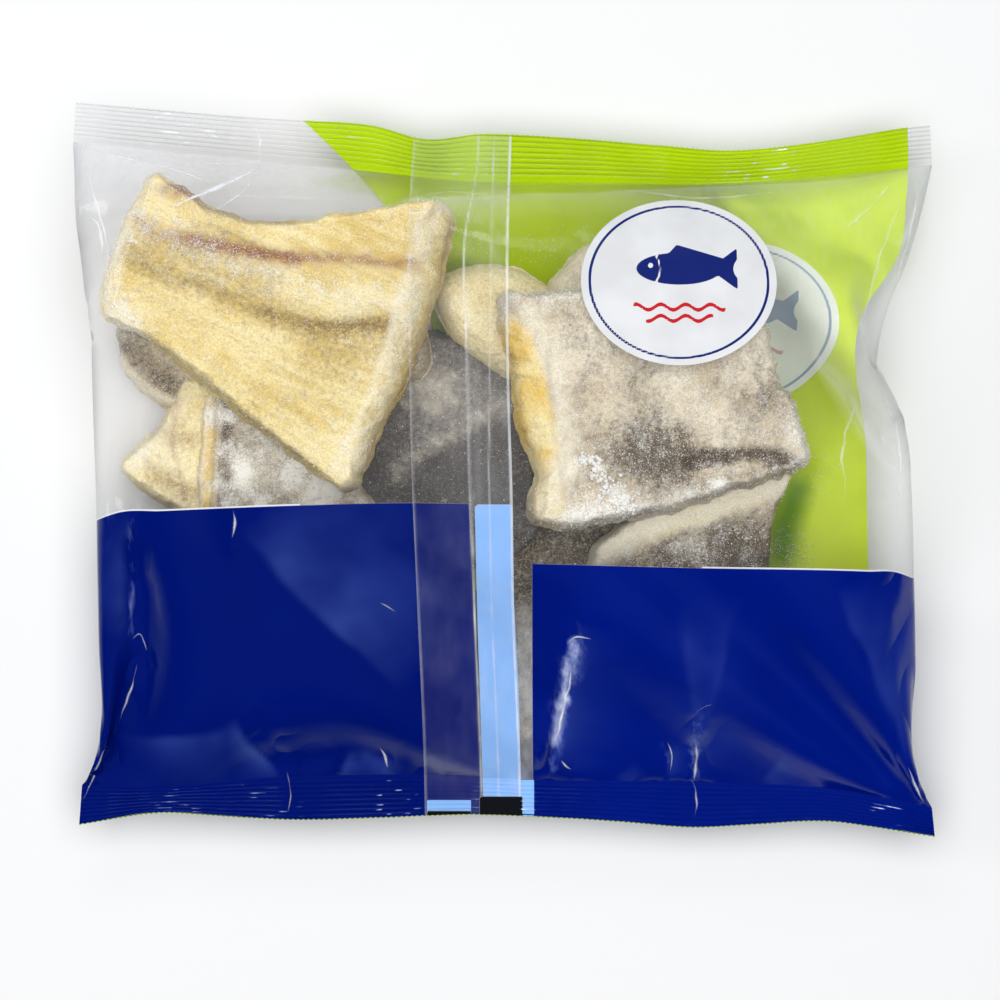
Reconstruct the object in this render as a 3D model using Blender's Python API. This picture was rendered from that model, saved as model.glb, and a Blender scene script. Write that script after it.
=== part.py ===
"""A sealed pillow bag of salted cod pieces, lying on its front with its back seam up.

Metres, +Z up. +X runs along the crimped ends, +Y towards the top end of the print.
The origin is on the surface that the bag lies on, under the middle of its outline.
The bag is one closed solid: a flat underside, a domed top with the lumps of the fish
under it, a ridged crimp at each end, and the back seam's flap as a raised strip.
"""

import math

import bpy
import numpy as np

# Driving dimensions
BAG_WIDTH = 0.250
BAG_LENGTH = 0.2132
BAG_HEIGHT = 0.046
CRIMP_DEPTH = 0.0126
FILM_EDGE = 0.0009
FLAP_THICKNESS = 0.0008

# Heights above the surface
SIDE_FOLD_HEIGHT = 0.0140
CRIMP_LIP_HEIGHT = 0.0125
TOP_RISE = 0.0235
PRESS_FLAT = 1.45

# Ridges pressed across each crimp
RIDGES = 5
RIDGE_RELIEF = 0.0007

# Grid of the solid
LEFT_COLUMNS = 16
FLAP_COLUMNS = 3
RIGHT_COLUMNS = 18
BODY_ROWS = 28
FLAP_STEP = 0.0004

HALF_WIDTH = BAG_WIDTH / 2
HALF_LENGTH = BAG_LENGTH / 2

# Side folds: (share of the way up the bag, distance in from the half width)
LEFT_FOLD = (
    (0.00, 0.0006),
    (0.03, 0.0004),
    (0.12, 0.0084),
    (0.26, 0.0077),
    (0.42, 0.0068),
    (0.64, 0.0048),
    (0.94, 0.0000),
    (1.00, 0.0006),
)
RIGHT_FOLD = (
    (0.00, 0.0004),
    (0.03, 0.0000),
    (0.10, 0.0065),
    (0.25, 0.0065),
    (0.47, 0.0083),
    (0.60, 0.0118),
    (0.68, 0.0171),
    (0.75, 0.0135),
    (0.85, 0.0054),
    (0.94, 0.0010),
    (1.00, 0.0015),
)

# Cut ends: (share of the way across, distance in from the half length)
TOP_END = (
    (0.00, 0.0000),
    (0.35, 0.0070),
    (0.41, 0.0108),
    (0.51, 0.0099),
    (0.77, 0.0139),
    (0.89, 0.0108),
    (1.00, 0.0067),
)
BOTTOM_END = (
    (0.00, 0.0035),
    (0.10, 0.0070),
    (0.25, 0.0050),
    (0.41, 0.0064),
    (0.73, 0.0026),
    (0.88, 0.0044),
    (1.00, 0.0000),
)

# Edges of the back seam's flap: (share of the way up, X)
FLAP_LEFT = (
    (0.00, -0.0230),
    (0.06, -0.0233),
    (0.30, -0.0254),
    (0.63, -0.0277),
    (1.00, -0.0262),
)
FLAP_RIGHT = (
    (0.00, 0.0048),
    (0.30, 0.0028),
    (0.63, 0.0013),
    (0.87, 0.0013),
    (1.00, 0.0022),
)

# Lumps of the fish under the film: (X, Y, half width, half length, height)
LUMPS = (
    (-0.066, 0.038, 0.050, 0.040, 0.0085),
    (0.044, 0.020, 0.042, 0.036, 0.0085),
    (-0.030, 0.008, 0.030, 0.026, 0.0020),
    (0.040, -0.045, 0.060, 0.022, 0.0035),
    (-0.060, -0.045, 0.048, 0.024, 0.0030),
)


def smooth_line(points, share):
    """The value at share along a smooth curve through (share, value) points."""
    places = np.array([place for place, _ in points])
    values = np.array([value for _, value in points])
    slopes = np.gradient(values, places)
    index = np.clip(np.searchsorted(places, share) - 1, 0, len(places) - 2)
    span = places[index + 1] - places[index]
    t = (share - places[index]) / span
    start = (1 + 2 * t) * (1 - t) ** 2 * values[index]
    end = t * t * (3 - 2 * t) * values[index + 1]
    leave = t * (1 - t) ** 2 * span * slopes[index]
    arrive = t * t * (t - 1) * span * slopes[index + 1]
    return start + end + leave + arrive


def column_places(up):
    """The X of every grid column at a share of the way up, and which lie on the flap."""
    left = -HALF_WIDTH + smooth_line(LEFT_FOLD, up)
    right = HALF_WIDTH - smooth_line(RIGHT_FOLD, up)
    flap_left = smooth_line(FLAP_LEFT, up)
    flap_right = smooth_line(FLAP_RIGHT, up)
    outer = np.linspace(left, flap_left - FLAP_STEP, LEFT_COLUMNS)
    flap = np.linspace(flap_left, flap_right, FLAP_COLUMNS + 1)
    inner = np.linspace(flap_right + FLAP_STEP, right, RIGHT_COLUMNS)
    places = np.concatenate([outer, flap, inner])
    on_flap = np.zeros(len(places))
    on_flap[LEFT_COLUMNS : LEFT_COLUMNS + len(flap)] = 1.0
    return places, on_flap


def row_shares():
    """The share of the way up of every grid row: finer in the crimps than in the body."""
    crimp = CRIMP_DEPTH / BAG_LENGTH
    bottom = np.linspace(0.0, crimp, 2 * RIDGES + 1)
    turns = np.linspace(0.0, math.pi, BODY_ROWS + 1)[1:-1]
    body = crimp + (1 - 2 * crimp) * (0.5 - 0.5 * np.cos(turns)) * 0.55
    body += (1 - 2 * crimp) * np.linspace(0.0, 1.0, BODY_ROWS + 1)[1:-1] * 0.45
    top = np.linspace(1 - crimp, 1.0, 2 * RIDGES + 1)
    return np.concatenate([bottom, body, top])


def lump_height(x, y):
    total = 0.0
    for across, along, half_width, half_length, height in LUMPS:
        reach = ((x - across) / half_width) ** 4 + ((y - along) / half_length) ** 4
        total = total + height * np.exp(-reach)
    return total


def fold_height(inside_crimp):
    """How high the welded film lies: level along the body, drooping to each cut edge."""
    return SIDE_FOLD_HEIGHT + (CRIMP_LIP_HEIGHT - SIDE_FOLD_HEIGHT) * inside_crimp


def bag_surfaces():
    """The upper and lower surface of the bag, as two grids of points."""
    rows = row_shares()
    crimp = CRIMP_DEPTH / BAG_LENGTH
    upper = []
    lower = []
    for number, up in enumerate(rows):
        x, on_flap = column_places(up)
        across = (x - x[0]) / (x[-1] - x[0])
        top_y = HALF_LENGTH - smooth_line(TOP_END, across)
        bottom_y = -HALF_LENGTH + smooth_line(BOTTOM_END, across)
        y = bottom_y + (top_y - bottom_y) * up
        inside_crimp = max(0.0, 1 - up / crimp, 1 - (1 - up) / crimp)
        along = min(1.0, abs(2 * up - 1) / (1 - 2 * crimp))
        profile = (1 - np.abs(2 * across - 1) ** 2.8) ** 0.55
        pillow = profile * (1 - along**2.4) ** 0.7
        middle = fold_height(inside_crimp)
        in_ridges = number <= 2 * RIDGES or number >= len(rows) - 1 - 2 * RIDGES
        ridge = RIDGE_RELIEF / 2 * (-1) ** number if in_ridges else 0.0
        rise = TOP_RISE * pillow + lump_height(x, y) * np.minimum(1.0, 2 * pillow)
        drop = np.minimum(middle - FILM_EDGE / 2, PRESS_FLAT * middle * pillow)
        top = middle + ridge + FILM_EDGE / 2 + rise + FLAP_THICKNESS * on_flap
        bottom = middle + ridge * (drop < RIDGE_RELIEF) - FILM_EDGE / 2 - drop
        upper.append(np.column_stack([x, y, top]))
        lower.append(np.column_stack([x, y, bottom]))
    return np.array(upper), np.array(lower)


def grid_faces(rows, columns, first, turned):
    """Quads over a grid of points that starts at index first."""
    faces = []
    for row in range(rows - 1):
        for column in range(columns - 1):
            corner = first + row * columns + column
            face = (corner, corner + 1, corner + columns + 1, corner + columns)
            faces.append(face[::-1] if turned else face)
    return faces


def rim_faces(rows, columns, first, second):
    """Quads that join the outer loops of two grids with the same layout."""
    loop = [column for column in range(columns)]
    loop += [row * columns + columns - 1 for row in range(1, rows)]
    loop += [(rows - 1) * columns + column for column in range(columns - 2, -1, -1)]
    loop += [row * columns for row in range(rows - 2, 0, -1)]
    faces = []
    for here, there in zip(loop, loop[1:] + loop[:1]):
        faces.append((first + there, first + here, second + here, second + there))
    return faces


def film_material():
    material = bpy.data.materials.new("printed_film")
    material.use_nodes = True
    shader = material.node_tree.nodes["Principled BSDF"]
    shader.inputs["Base Color"].default_value = (0.62, 0.62, 0.50, 1.0)
    shader.inputs["Roughness"].default_value = 0.22
    shader.inputs["Metallic"].default_value = 0.0
    return material


def make_bag():
    upper, lower = bag_surfaces()
    upper[:, :, 2] *= BAG_HEIGHT / upper[:, :, 2].max()
    rows, columns = upper.shape[:2]
    count = rows * columns
    points = np.concatenate([upper.reshape(-1, 3), lower.reshape(-1, 3)])
    faces = grid_faces(rows, columns, 0, turned=False)
    faces += grid_faces(rows, columns, count, turned=True)
    faces += rim_faces(rows, columns, 0, count)
    mesh = bpy.data.meshes.new("bag")
    mesh.from_pydata(points.tolist(), [], faces)
    mesh.materials.append(film_material())
    mesh.shade_smooth()
    mesh.set_sharp_from_angle(angle=math.radians(35))
    bag = bpy.data.objects.new("bag", mesh)
    bpy.context.scene.collection.objects.link(bag)
    return bag


for old in list(bpy.data.objects):
    bpy.data.objects.remove(old)

make_bag()
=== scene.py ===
"""The looks of a sealed clear pillow bag of salted cod: film, print, fish and salt.

Metres, +Z up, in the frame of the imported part. The film is relaxed around the fish by a
small solver, so its creases, tents and dents are real shapes. Places read from the
photograph are (column, row) pairs in its 1000 by 1000 frame, and spot() turns one into
metres at a stated height.
"""

import math

import bpy
import numpy as np
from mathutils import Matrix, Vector
from mathutils.bvhtree import BVHTree


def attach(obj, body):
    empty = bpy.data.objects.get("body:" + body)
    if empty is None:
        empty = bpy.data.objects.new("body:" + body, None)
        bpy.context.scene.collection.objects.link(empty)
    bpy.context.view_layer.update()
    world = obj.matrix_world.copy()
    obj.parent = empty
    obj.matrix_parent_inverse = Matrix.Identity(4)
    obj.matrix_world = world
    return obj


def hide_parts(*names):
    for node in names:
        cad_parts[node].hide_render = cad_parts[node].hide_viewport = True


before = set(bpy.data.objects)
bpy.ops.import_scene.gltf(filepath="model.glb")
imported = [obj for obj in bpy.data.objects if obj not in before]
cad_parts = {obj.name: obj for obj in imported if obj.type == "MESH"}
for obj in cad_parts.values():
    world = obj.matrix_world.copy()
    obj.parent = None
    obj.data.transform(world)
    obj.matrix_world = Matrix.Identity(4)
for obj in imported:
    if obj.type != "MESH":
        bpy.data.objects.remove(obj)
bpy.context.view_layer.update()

# Camera and scale
PHOTO_SIDE = 1000
PIXEL = 0.00029
BAG_COLUMN = 504.5
BAG_ROW = 469.5
CAMERA_HEIGHT = 0.95
FOLD_LEVEL = 0.014
CAMERA_X = (PHOTO_SIDE / 2 - BAG_COLUMN) * PIXEL
CAMERA_Y = (BAG_ROW - PHOTO_SIDE / 2) * PIXEL
SENSOR = 36.0

# Film
FLAT_WIDTH = 0.249
FLAT_LENGTH = 0.1965
COARSE_COLUMNS = 32
COARSE_ROWS = 26
FILM_GAP = 0.0003
CRIMP_ROWS = 36
CRIMP_RIDGES = 9
CRIMP_RELIEF = 0.00022
CRIMP_SAG = 0.0015
CRIMP_WAVE = 0.0012
CRIMP_CREAK = 0.00035
TOOTH_PITCH = 0.0015
TOOTH_DEPTH = 0.0004
FAR_SHEET_REACH = 0.0002
SHEET_GAP = 0.0002
LIME_HEM = 0.0004
FLAP_GAP = 0.0004
FLAP_LIFT = 0.0008
FLAP_RIPPLE = 0.00012
CREASE_LIFT = 0.00012

# How the film settles: (steps, pressure, stiffness) of each stage, how much of its speed it
# keeps from step to step, and how far its sides move to the outline in one
FIRST_STAGE = (260, 0.000016, 0.004)
LATER_STAGES = ((160, 0.000007, 0.006), (150, 0.0000025, 0.008))
KEPT_SPEED = 0.92
SIDE_PULL = 0.3

# How steeply the near and far film fall from the fish, and how fast they part at a weld
NEAR_SLOPE = 2.6
FAR_SLOPE = 1.8
WELD_SLOPE = 2.2

# Height field that the film lies against
CELL = 0.0012
FIELD_X = np.arange(-0.131, 0.1311, CELL)
FIELD_Y = np.arange(-0.112, 0.1121, CELL)

# The bag's outline in the photograph: (row, column) down each side, (column, row) along
# each weld and each cut end
LEFT_SIDE = (
    (142, 73.5), (200, 78), (270, 84), (359, 90), (521, 97), (639, 100), (735, 101.5), (760, 96),
    (785, 85),
)
RIGHT_SIDE = (
    (165, 932), (200, 925), (235, 915.5), (270, 904), (302, 889), (339, 879), (358, 876.5),
    (412, 895), (503, 907), (574, 910), (662, 913), (766, 913), (788, 921), (805, 930),
)
TOP_WELD = (
    (73.5, 142), (255, 160), (376, 172), (450, 180), (600, 183), (732, 184), (836, 175), (932, 165),
)
BOTTOM_WELD = (
    (82, 785), (140, 787), (283, 777), (424, 775), (535, 780), (694, 782), (847, 791), (932, 808),
)
TOP_CUT = (
    (75.5, 102), (255, 117), (303, 120), (376, 126), (424, 139), (479, 134), (560, 137), (658, 145),
    (732, 150), (793, 145), (836, 139), (906, 127.5), (930, 125),
)
BOTTOM_CUT = (
    (79, 825), (162, 813), (219, 816), (290, 820), (379, 818), (475, 815), (534, 817), (618, 822),
    (700, 828), (755, 825), (832, 822), (878, 828), (935, 837),
)

# Edges of the back seam's flap and weld: (row, column)
FLAP_COLUMN = 465
FLAP_LEFT = ((134, 414), (193, 410), (359, 409), (485, 412), (599, 417), (767, 424), (818, 425))
FLAP_RIGHT = ((134, 512), (228, 509), (359, 509), (511, 513), (599, 514), (796, 521), (818, 521))
WELD_LEFT = ((134, 479), (174, 476), (228, 466), (359, 467), (485, 470), (599, 474), (818, 483))
WELD_MIDDLE = ((134, 494), (228, 492), (359, 490), (485, 489), (599, 492), (818, 500))

# Print on the near film: (column, row) along an edge, or (row, column) down one
BLUE_LEFT_TOP = ((90, 524), (100, 519), (117, 513), (162, 511), (283, 506), (412, 503), (480, 504))
BLUE_LEFT_END = ((500, 469), (786, 480), (840, 481))
SKY_LEFT = ((500, 474.6), (600, 477), (797, 483), (840, 484))
SKY_RIGHT = ((500, 512), (600, 514), (700, 518.8), (770, 520.5), (840, 521))
SKY_TOP_ROW = 504.5
BLUE_RIGHT_TOP = ((525, 563.5), (694, 568), (866, 571.5), (899, 573), (912, 578))
BLUE_RIGHT_START = ((555, 532), (780, 533), (840, 534))
CRIMP_SKY_ROW = 780
MARK_COLUMNS = (479.5, 522.5)
MARK_ROW = 796.5
SLIVER_COLUMNS = (427, 471)
SLIVER_ROWS = (800, 811)
FOOT_END = 534
LIGHT_BLUE_COLUMNS = (440, 600)

# The white under the blue: how many pixels it shows beyond it, and between which columns
# it does not show
WHITE_EDGE = 1.6
WHITE_EDGE_GAP = (300, 700)

# Print on the far film, seen through the bag
GREEN_LEFT = ((90, 275), (120, 303), (157, 341), (205, 384), (250, 412), (330, 432), (450, 438))
GREEN_RIGHT = ((90, 906), (170, 908), (202, 906), (254, 899), (313, 863), (450, 866), (850, 872))
FAR_BLUE_ROW = 590
# Painted light and shade on the one green ink: lighter past these columns, and above these rows
# under the top weld
LIGHT_LIME_COLUMNS = (620, 820)
LIGHT_LIME_ROWS = (218, 192)
# A darker lime line and a darker green patch on the far film
DARK_LIME_LINE = ((804, 470), (784, 520), (776, 566))
DARK_GREEN_PATCH = ((796, 492), (786, 522), (781, 552))

# White on the near film: dust in the gap between the blue fields, cloudiness with a painted
# sheen at its upper right, and along its upper left cloudiness with painted light over the
# shade under the top weld
GAP_COLUMN = 526
GAP_REACH = 12
GAP_ROWS = (590, 650)
GAP_DUST = 0.22
MILKY_SHEEN_COLUMNS = (560, 800)
MILKY_SHEEN_ROWS = (400, 240)
MILKY_SHEEN = 0.07
PAINTED_LIGHT_VEIL_COLUMNS = (420, 360)
PAINTED_LIGHT_VEIL_ROWS = (204, 174)
PAINTED_LIGHT_VEIL = 0.12

# Labels: the centre of each as (column, row), then half width and half height, the ring's
# place inside the rim, its width, and the height over the film, all in metres
NEAR_LABEL = (679, 281)
FAR_LABEL = (738, 325)
LABEL_HALF = (0.0276, 0.0239)
LABEL_RING_INSET = 0.0021
LABEL_RING_WIDTH = 0.0007
LABEL_LIFT = 0.00012

# Sharp folds of the near film, raised as ridges and whitened with painted highlights and some
# stress whitening: places along each, width in metres, how white it is
CREASE_LEVEL = 0.03
CREASES = (
    (((258, 163), (228, 183), (196, 201), (176, 212)), 0.0022, 1.3),
    (((80, 143), (122, 155), (170, 168), (214, 184)), 0.001, 0.7),
    (((78, 146), (92, 190), (106, 236), (114, 296)), 0.0012, 0.7),
    (((84, 214), (98, 226), (106, 270)), 0.0016, 0.7),
    (((258, 163), (240, 196), (212, 216)), 0.0009, 0.6),
    (((150, 150), (200, 160), (262, 158)), 0.0006, 0.3),
    (((253, 116), (256, 138), (254, 164)), 0.0007, 0.6),
    (((132, 666), (124, 696), (112, 726)), 0.0008, 0.55),
    (((102, 748), (90, 774), (76, 806)), 0.0009, 0.55),
    (((283, 776), (287, 797), (284, 818)), 0.0007, 0.4),
    (((562, 764), (567, 770), (573, 774)), 0.0008, 0.5),
    (((696, 784), (700, 804), (698, 824)), 0.0007, 0.45),
    (((911, 768), (920, 789), (932, 810)), 0.001, 0.65),
    (((927, 172), (913, 238), (893, 300)), 0.0009, 0.5),
    (((904, 168), (872, 206), (836, 236)), 0.0011, 0.34),
    (((906, 196), (880, 262), (858, 340)), 0.001, 0.34),
    (((620, 186), (700, 198), (790, 190)), 0.001, 0.26),
    (((858, 392), (838, 446), (842, 500)), 0.0012, 0.34),
    (((884, 392), (898, 440), (896, 520)), 0.0009, 0.45),
    (((418, 196), (452, 190), (500, 196)), 0.0008, 0.4),
    (((566, 643), (576, 636), (591, 638)), 0.0008, 0.8),
    (((573, 664), (565, 706), (555, 750)), 0.0013, 0.8),
    (((698, 746), (699, 764), (697, 785)), 0.0022, 1.0),
    (((669, 744), (674, 758), (673, 776)), 0.0007, 0.5),
    (((712, 704), (704, 707), (696, 713)), 0.0006, 0.4),
    (((127, 641), (136, 636), (143, 653)), 0.0008, 0.7),
    (((234, 510), (236, 522), (233, 538)), 0.001, 0.65),
    (((378, 750), (383, 759), (386, 772)), 0.0016, 0.9),
    (((380, 602), (388, 606), (397, 612)), 0.0006, 0.36),
)

# Crumpled stretches of the near film: places along each, width in metres, how much
CRUMPLE_RELIEF = 0.0007
CRUMPLES = (
    (((116, 515), (127, 580), (130, 650), (114, 730), (92, 792)), 0.0048, 1.0),
    (((250, 716), (300, 784)), 0.006, 0.7),
    (((330, 772), (405, 778)), 0.005, 0.8),
    (((232, 500), (232, 545)), 0.004, 0.6),
    (((350, 600), (400, 640)), 0.006, 0.3),
    (((578, 630), (560, 700), (545, 772)), 0.005, 1.0),
    (((560, 778), (700, 778)), 0.004, 0.5),
    (((700, 720), (697, 790)), 0.0044, 0.9),
    (((888, 582), (903, 680), (914, 790)), 0.005, 0.6),
    (((84, 150), (170, 190), (250, 180)), 0.007, 0.5),
    (((545, 195), (580, 215)), 0.006, 0.2),
)

# Painted highlights on folds of the near film: places along each, width in metres, how much
SHEENS = (
    (((574, 640), (566, 700), (550, 766)), 0.003, 0.24),
    (((568, 672), (562, 715), (554, 748)), 0.0012, 0.16),
    (((128, 520), (129, 590), (126, 636)), 0.0011, 0.18),
    (((698, 720), (697, 780)), 0.0024, 0.18),
    (((668, 746), (672, 772)), 0.0014, 0.14),
)

# Flat facets of the near film, raised a little and lighter with a painted sheen on one side of a
# line: its start and end, how far the sheen reaches in metres, and how light it is, below 0 for
# the line's other side
FACETS = (
    ((236, 536), (404, 694), 0.02, 0.17),
    ((121, 640), (130, 512), 0.0045, 0.17),
    ((236, 716), (276, 786), 0.0036, -0.3),
    ((240, 722), (112, 742), 0.008, 0.13),
    ((333, 788), (352, 750), 0.0036, -0.2),
    ((352, 752), (404, 764), 0.005, -0.16),
    ((372, 780), (380, 756), 0.0024, -0.36),
    ((832, 588), (910, 772), 0.011, 0.15),
    ((700, 786), (672, 600), 0.006, -0.13),
    ((700, 786), (744, 596), 0.006, 0.1),
    ((548, 776), (574, 620), 0.006, -0.22),
    ((760, 782), (786, 752), 0.004, -0.14),
    ((668, 782), (674, 742), 0.0024, -0.3),
    ((616, 784), (640, 764), 0.0036, -0.14),
)
FACET_RELIEF = 0.0016

# Salt: grains on each piece of fish, and the lump of larger ones on the right piece
SALT_PER_PIECE = {
    "cod_main_slab": 4800,
    "cod_right_slab": 5600,
    "cod_left_skin": 260,
    "cod_tail": 500,
    "cod_strip_slab": 900,
    "cod_dark_slab": 700,
    "cod_tip": 60,
    "cod_back_ridge": 260,
    "cod_lower_right": 800,
    "cod_lower_middle": 300,
    "cod_chip": 80,
}
SALT_LUMP = ((590, 462), (598, 480), (612, 492), (624, 500))
SALT_LUMP_WIDTH = 0.0024
SALT_LUMP_GRAINS = 360

# Sizes of grains: the least, how much larger the largest are, and a power that is the
# lower the more of them are small
FINE_GRAINS = (0.00016, 0.00024, 0.4)
LOOSE_GRAINS = (0.00018, 0.00026, 0.4)
LUMP_GRAINS = (0.00045, 0.00085, 0.5)

# Loose salt between the pieces: its place, how far it spreads in metres, and its count
LOOSE_SALT = (
    ((820, 468), (0.006, 0.01), 60),
    ((788, 548), (0.008, 0.007), 260),
    ((540, 250), (0.01, 0.007), 60),
    ((470, 245), (0.008, 0.014), 60),
    ((446, 370), (0.004, 0.012), 60),
    ((140, 430), (0.01, 0.008), 30),
    ((600, 235), (0.016, 0.005), 20),
)

# Heights of the undersides of the fish pieces, those at the bottom and the two on top
LOWER_BASE = 0.0012
UPPER_BASE = 0.0215


def spot(column, row, height):
    """The X and Y of a photograph place for something at that height."""
    spread = (CAMERA_HEIGHT - height) / (CAMERA_HEIGHT - FOLD_LEVEL) * PIXEL
    half = PHOTO_SIDE / 2
    return CAMERA_X + (column - half) * spread, CAMERA_Y - (row - half) * spread


def seen_at(points):
    """The photograph's column and row of points in metres."""
    spread = (CAMERA_HEIGHT - points[..., 2]) / (CAMERA_HEIGHT - FOLD_LEVEL) * PIXEL
    half = PHOTO_SIDE / 2
    column = half + (points[..., 0] - CAMERA_X) / spread
    row = half - (points[..., 1] - CAMERA_Y) / spread
    return column, row


def smooth_line(points, place):
    """The value at place on a smooth curve through (place, value) points."""
    places = np.array([one for one, _ in points], float)
    values = np.array([value for _, value in points], float)
    slopes = np.gradient(values, places)
    index = np.clip(np.searchsorted(places, place) - 1, 0, len(places) - 2)
    span = places[index + 1] - places[index]
    t = np.clip((place - places[index]) / span, 0.0, 1.0)
    start = (1 + 2 * t) * (1 - t) ** 2 * values[index]
    end = t * t * (3 - 2 * t) * values[index + 1]
    leave = t * (1 - t) ** 2 * span * slopes[index]
    arrive = t * t * (t - 1) * span * slopes[index + 1]
    return start + end + leave + arrive


def soft_noise(points, size, seed):
    """Smooth noise from -1 to 1, with bumps of about that size, at rows of X, Y, Z."""
    side = 32
    table = np.random.default_rng(seed).uniform(-1.0, 1.0, (side, side, side))
    place = points / size + 1000.0
    cell = np.floor(place).astype(int)
    part = place - cell
    part = part * part * (3 - 2 * part)
    total = np.zeros(points.shape[:-1])
    for corner in range(8):
        step = np.array([corner & 1, corner >> 1 & 1, corner >> 2 & 1])
        share = np.prod(np.where(step == 1, part, 1 - part), axis=-1)
        at = (cell + step) % side
        total += share * table[at[..., 0], at[..., 1], at[..., 2]]
    return total


def layered_noise(points, size, seed, layers=3):
    """Noise from about -1 to 1, with finer bumps on the broad ones."""
    total = 0.0
    for layer in range(layers):
        total = total + soft_noise(points, size / 2**layer, seed + layer) / 2**layer
    return total / 1.6


def ramp(value, start, end):
    """From 0 at the start to 1 at the end."""
    return np.clip((value - start) / (end - start), 0.0, 1.0)


def inside(*distances):
    """The least of some signed distances: how far inside all of their fields a place is."""
    return np.minimum.reduce(np.broadcast_arrays(*distances))


def distance_to_path(x, y, path):
    """The distance from each X, Y to a path of (X, Y) points."""
    best = np.full(np.shape(x), np.inf)
    for (ax, ay), (bx, by) in zip(path[:-1], path[1:]):
        dx = bx - ax
        dy = by - ay
        along = ((x - ax) * dx + (y - ay) * dy) / (dx * dx + dy * dy)
        along = np.clip(along, 0.0, 1.0)
        best = np.minimum(best, np.hypot(x - ax - along * dx, y - ay - along * dy))
    return best


def stroke(points, marks, height, width, power=2):
    """1 on a path of photograph places, fading to 0 at about width from it."""
    path = [spot(column, row, height) for column, row in marks]
    away = distance_to_path(points[..., 0], points[..., 1], path)
    return np.exp(-((away / width) ** power))


def patch(points, mark, height, half_size):
    """1 inside an oval patch round a photograph place, fading to 0 past its rim."""
    x, y = spot(*mark, height)
    reach = ((points[..., 0] - x) / half_size[0]) ** 2
    reach = reach + ((points[..., 1] - y) / half_size[1]) ** 2
    return np.exp(-(reach**1.5))


def closed_curve(corners, count):
    """Points evenly spaced along a smooth closed curve through the corners."""
    corners = np.array(corners, float)
    before = np.roll(corners, 1, axis=0)
    after = np.roll(corners, -1, axis=0)
    beyond = np.roll(corners, -2, axis=0)
    t = np.linspace(0, 1, 24, endpoint=False)[:, None, None]
    curve = 0.5 * (
        2 * corners
        + (after - before) * t
        + (2 * before - 5 * corners + 4 * after - beyond) * t**2
        + (3 * corners - before - 3 * after + beyond) * t**3
    )
    curve = curve.transpose(1, 0, 2).reshape(-1, 2)
    steps = np.linalg.norm(np.roll(curve, -1, axis=0) - curve, axis=1)
    length = np.concatenate([[0.0], np.cumsum(steps)])
    wanted = np.linspace(0, length[-1], count, endpoint=False)
    looped = np.vstack([curve, curve[:1]])
    return np.column_stack([np.interp(wanted, length, looped[:, axis]) for axis in (0, 1)])


def new_object(name, points, faces, material):
    """A smooth object from points in metres, in the scene."""
    mesh = bpy.data.meshes.new(name)
    mesh.from_pydata(np.asarray(points, float).tolist(), [], faces)
    mesh.materials.append(material)
    mesh.shade_smooth()
    thing = bpy.data.objects.new(name, mesh)
    bpy.context.scene.collection.objects.link(thing)
    return thing


def give_values(thing, **values):
    """Stores one number per point for each named value, for the material to read."""
    for name, numbers in values.items():
        layer = thing.data.attributes.new(name, "FLOAT", "POINT")
        numbers = np.broadcast_to(numbers, len(thing.data.vertices))
        layer.data.foreach_set("value", numbers.astype(np.float32).ravel())


def grid_quads(rows, columns):
    """Faces over a grid of points, row by row."""
    corner = np.arange(rows * columns).reshape(rows, columns)
    quads = np.stack(
        [corner[:-1, :-1], corner[:-1, 1:], corner[1:, 1:], corner[1:, :-1]], axis=-1
    )
    return quads.reshape(-1, 4).tolist()


# Node materials


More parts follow.
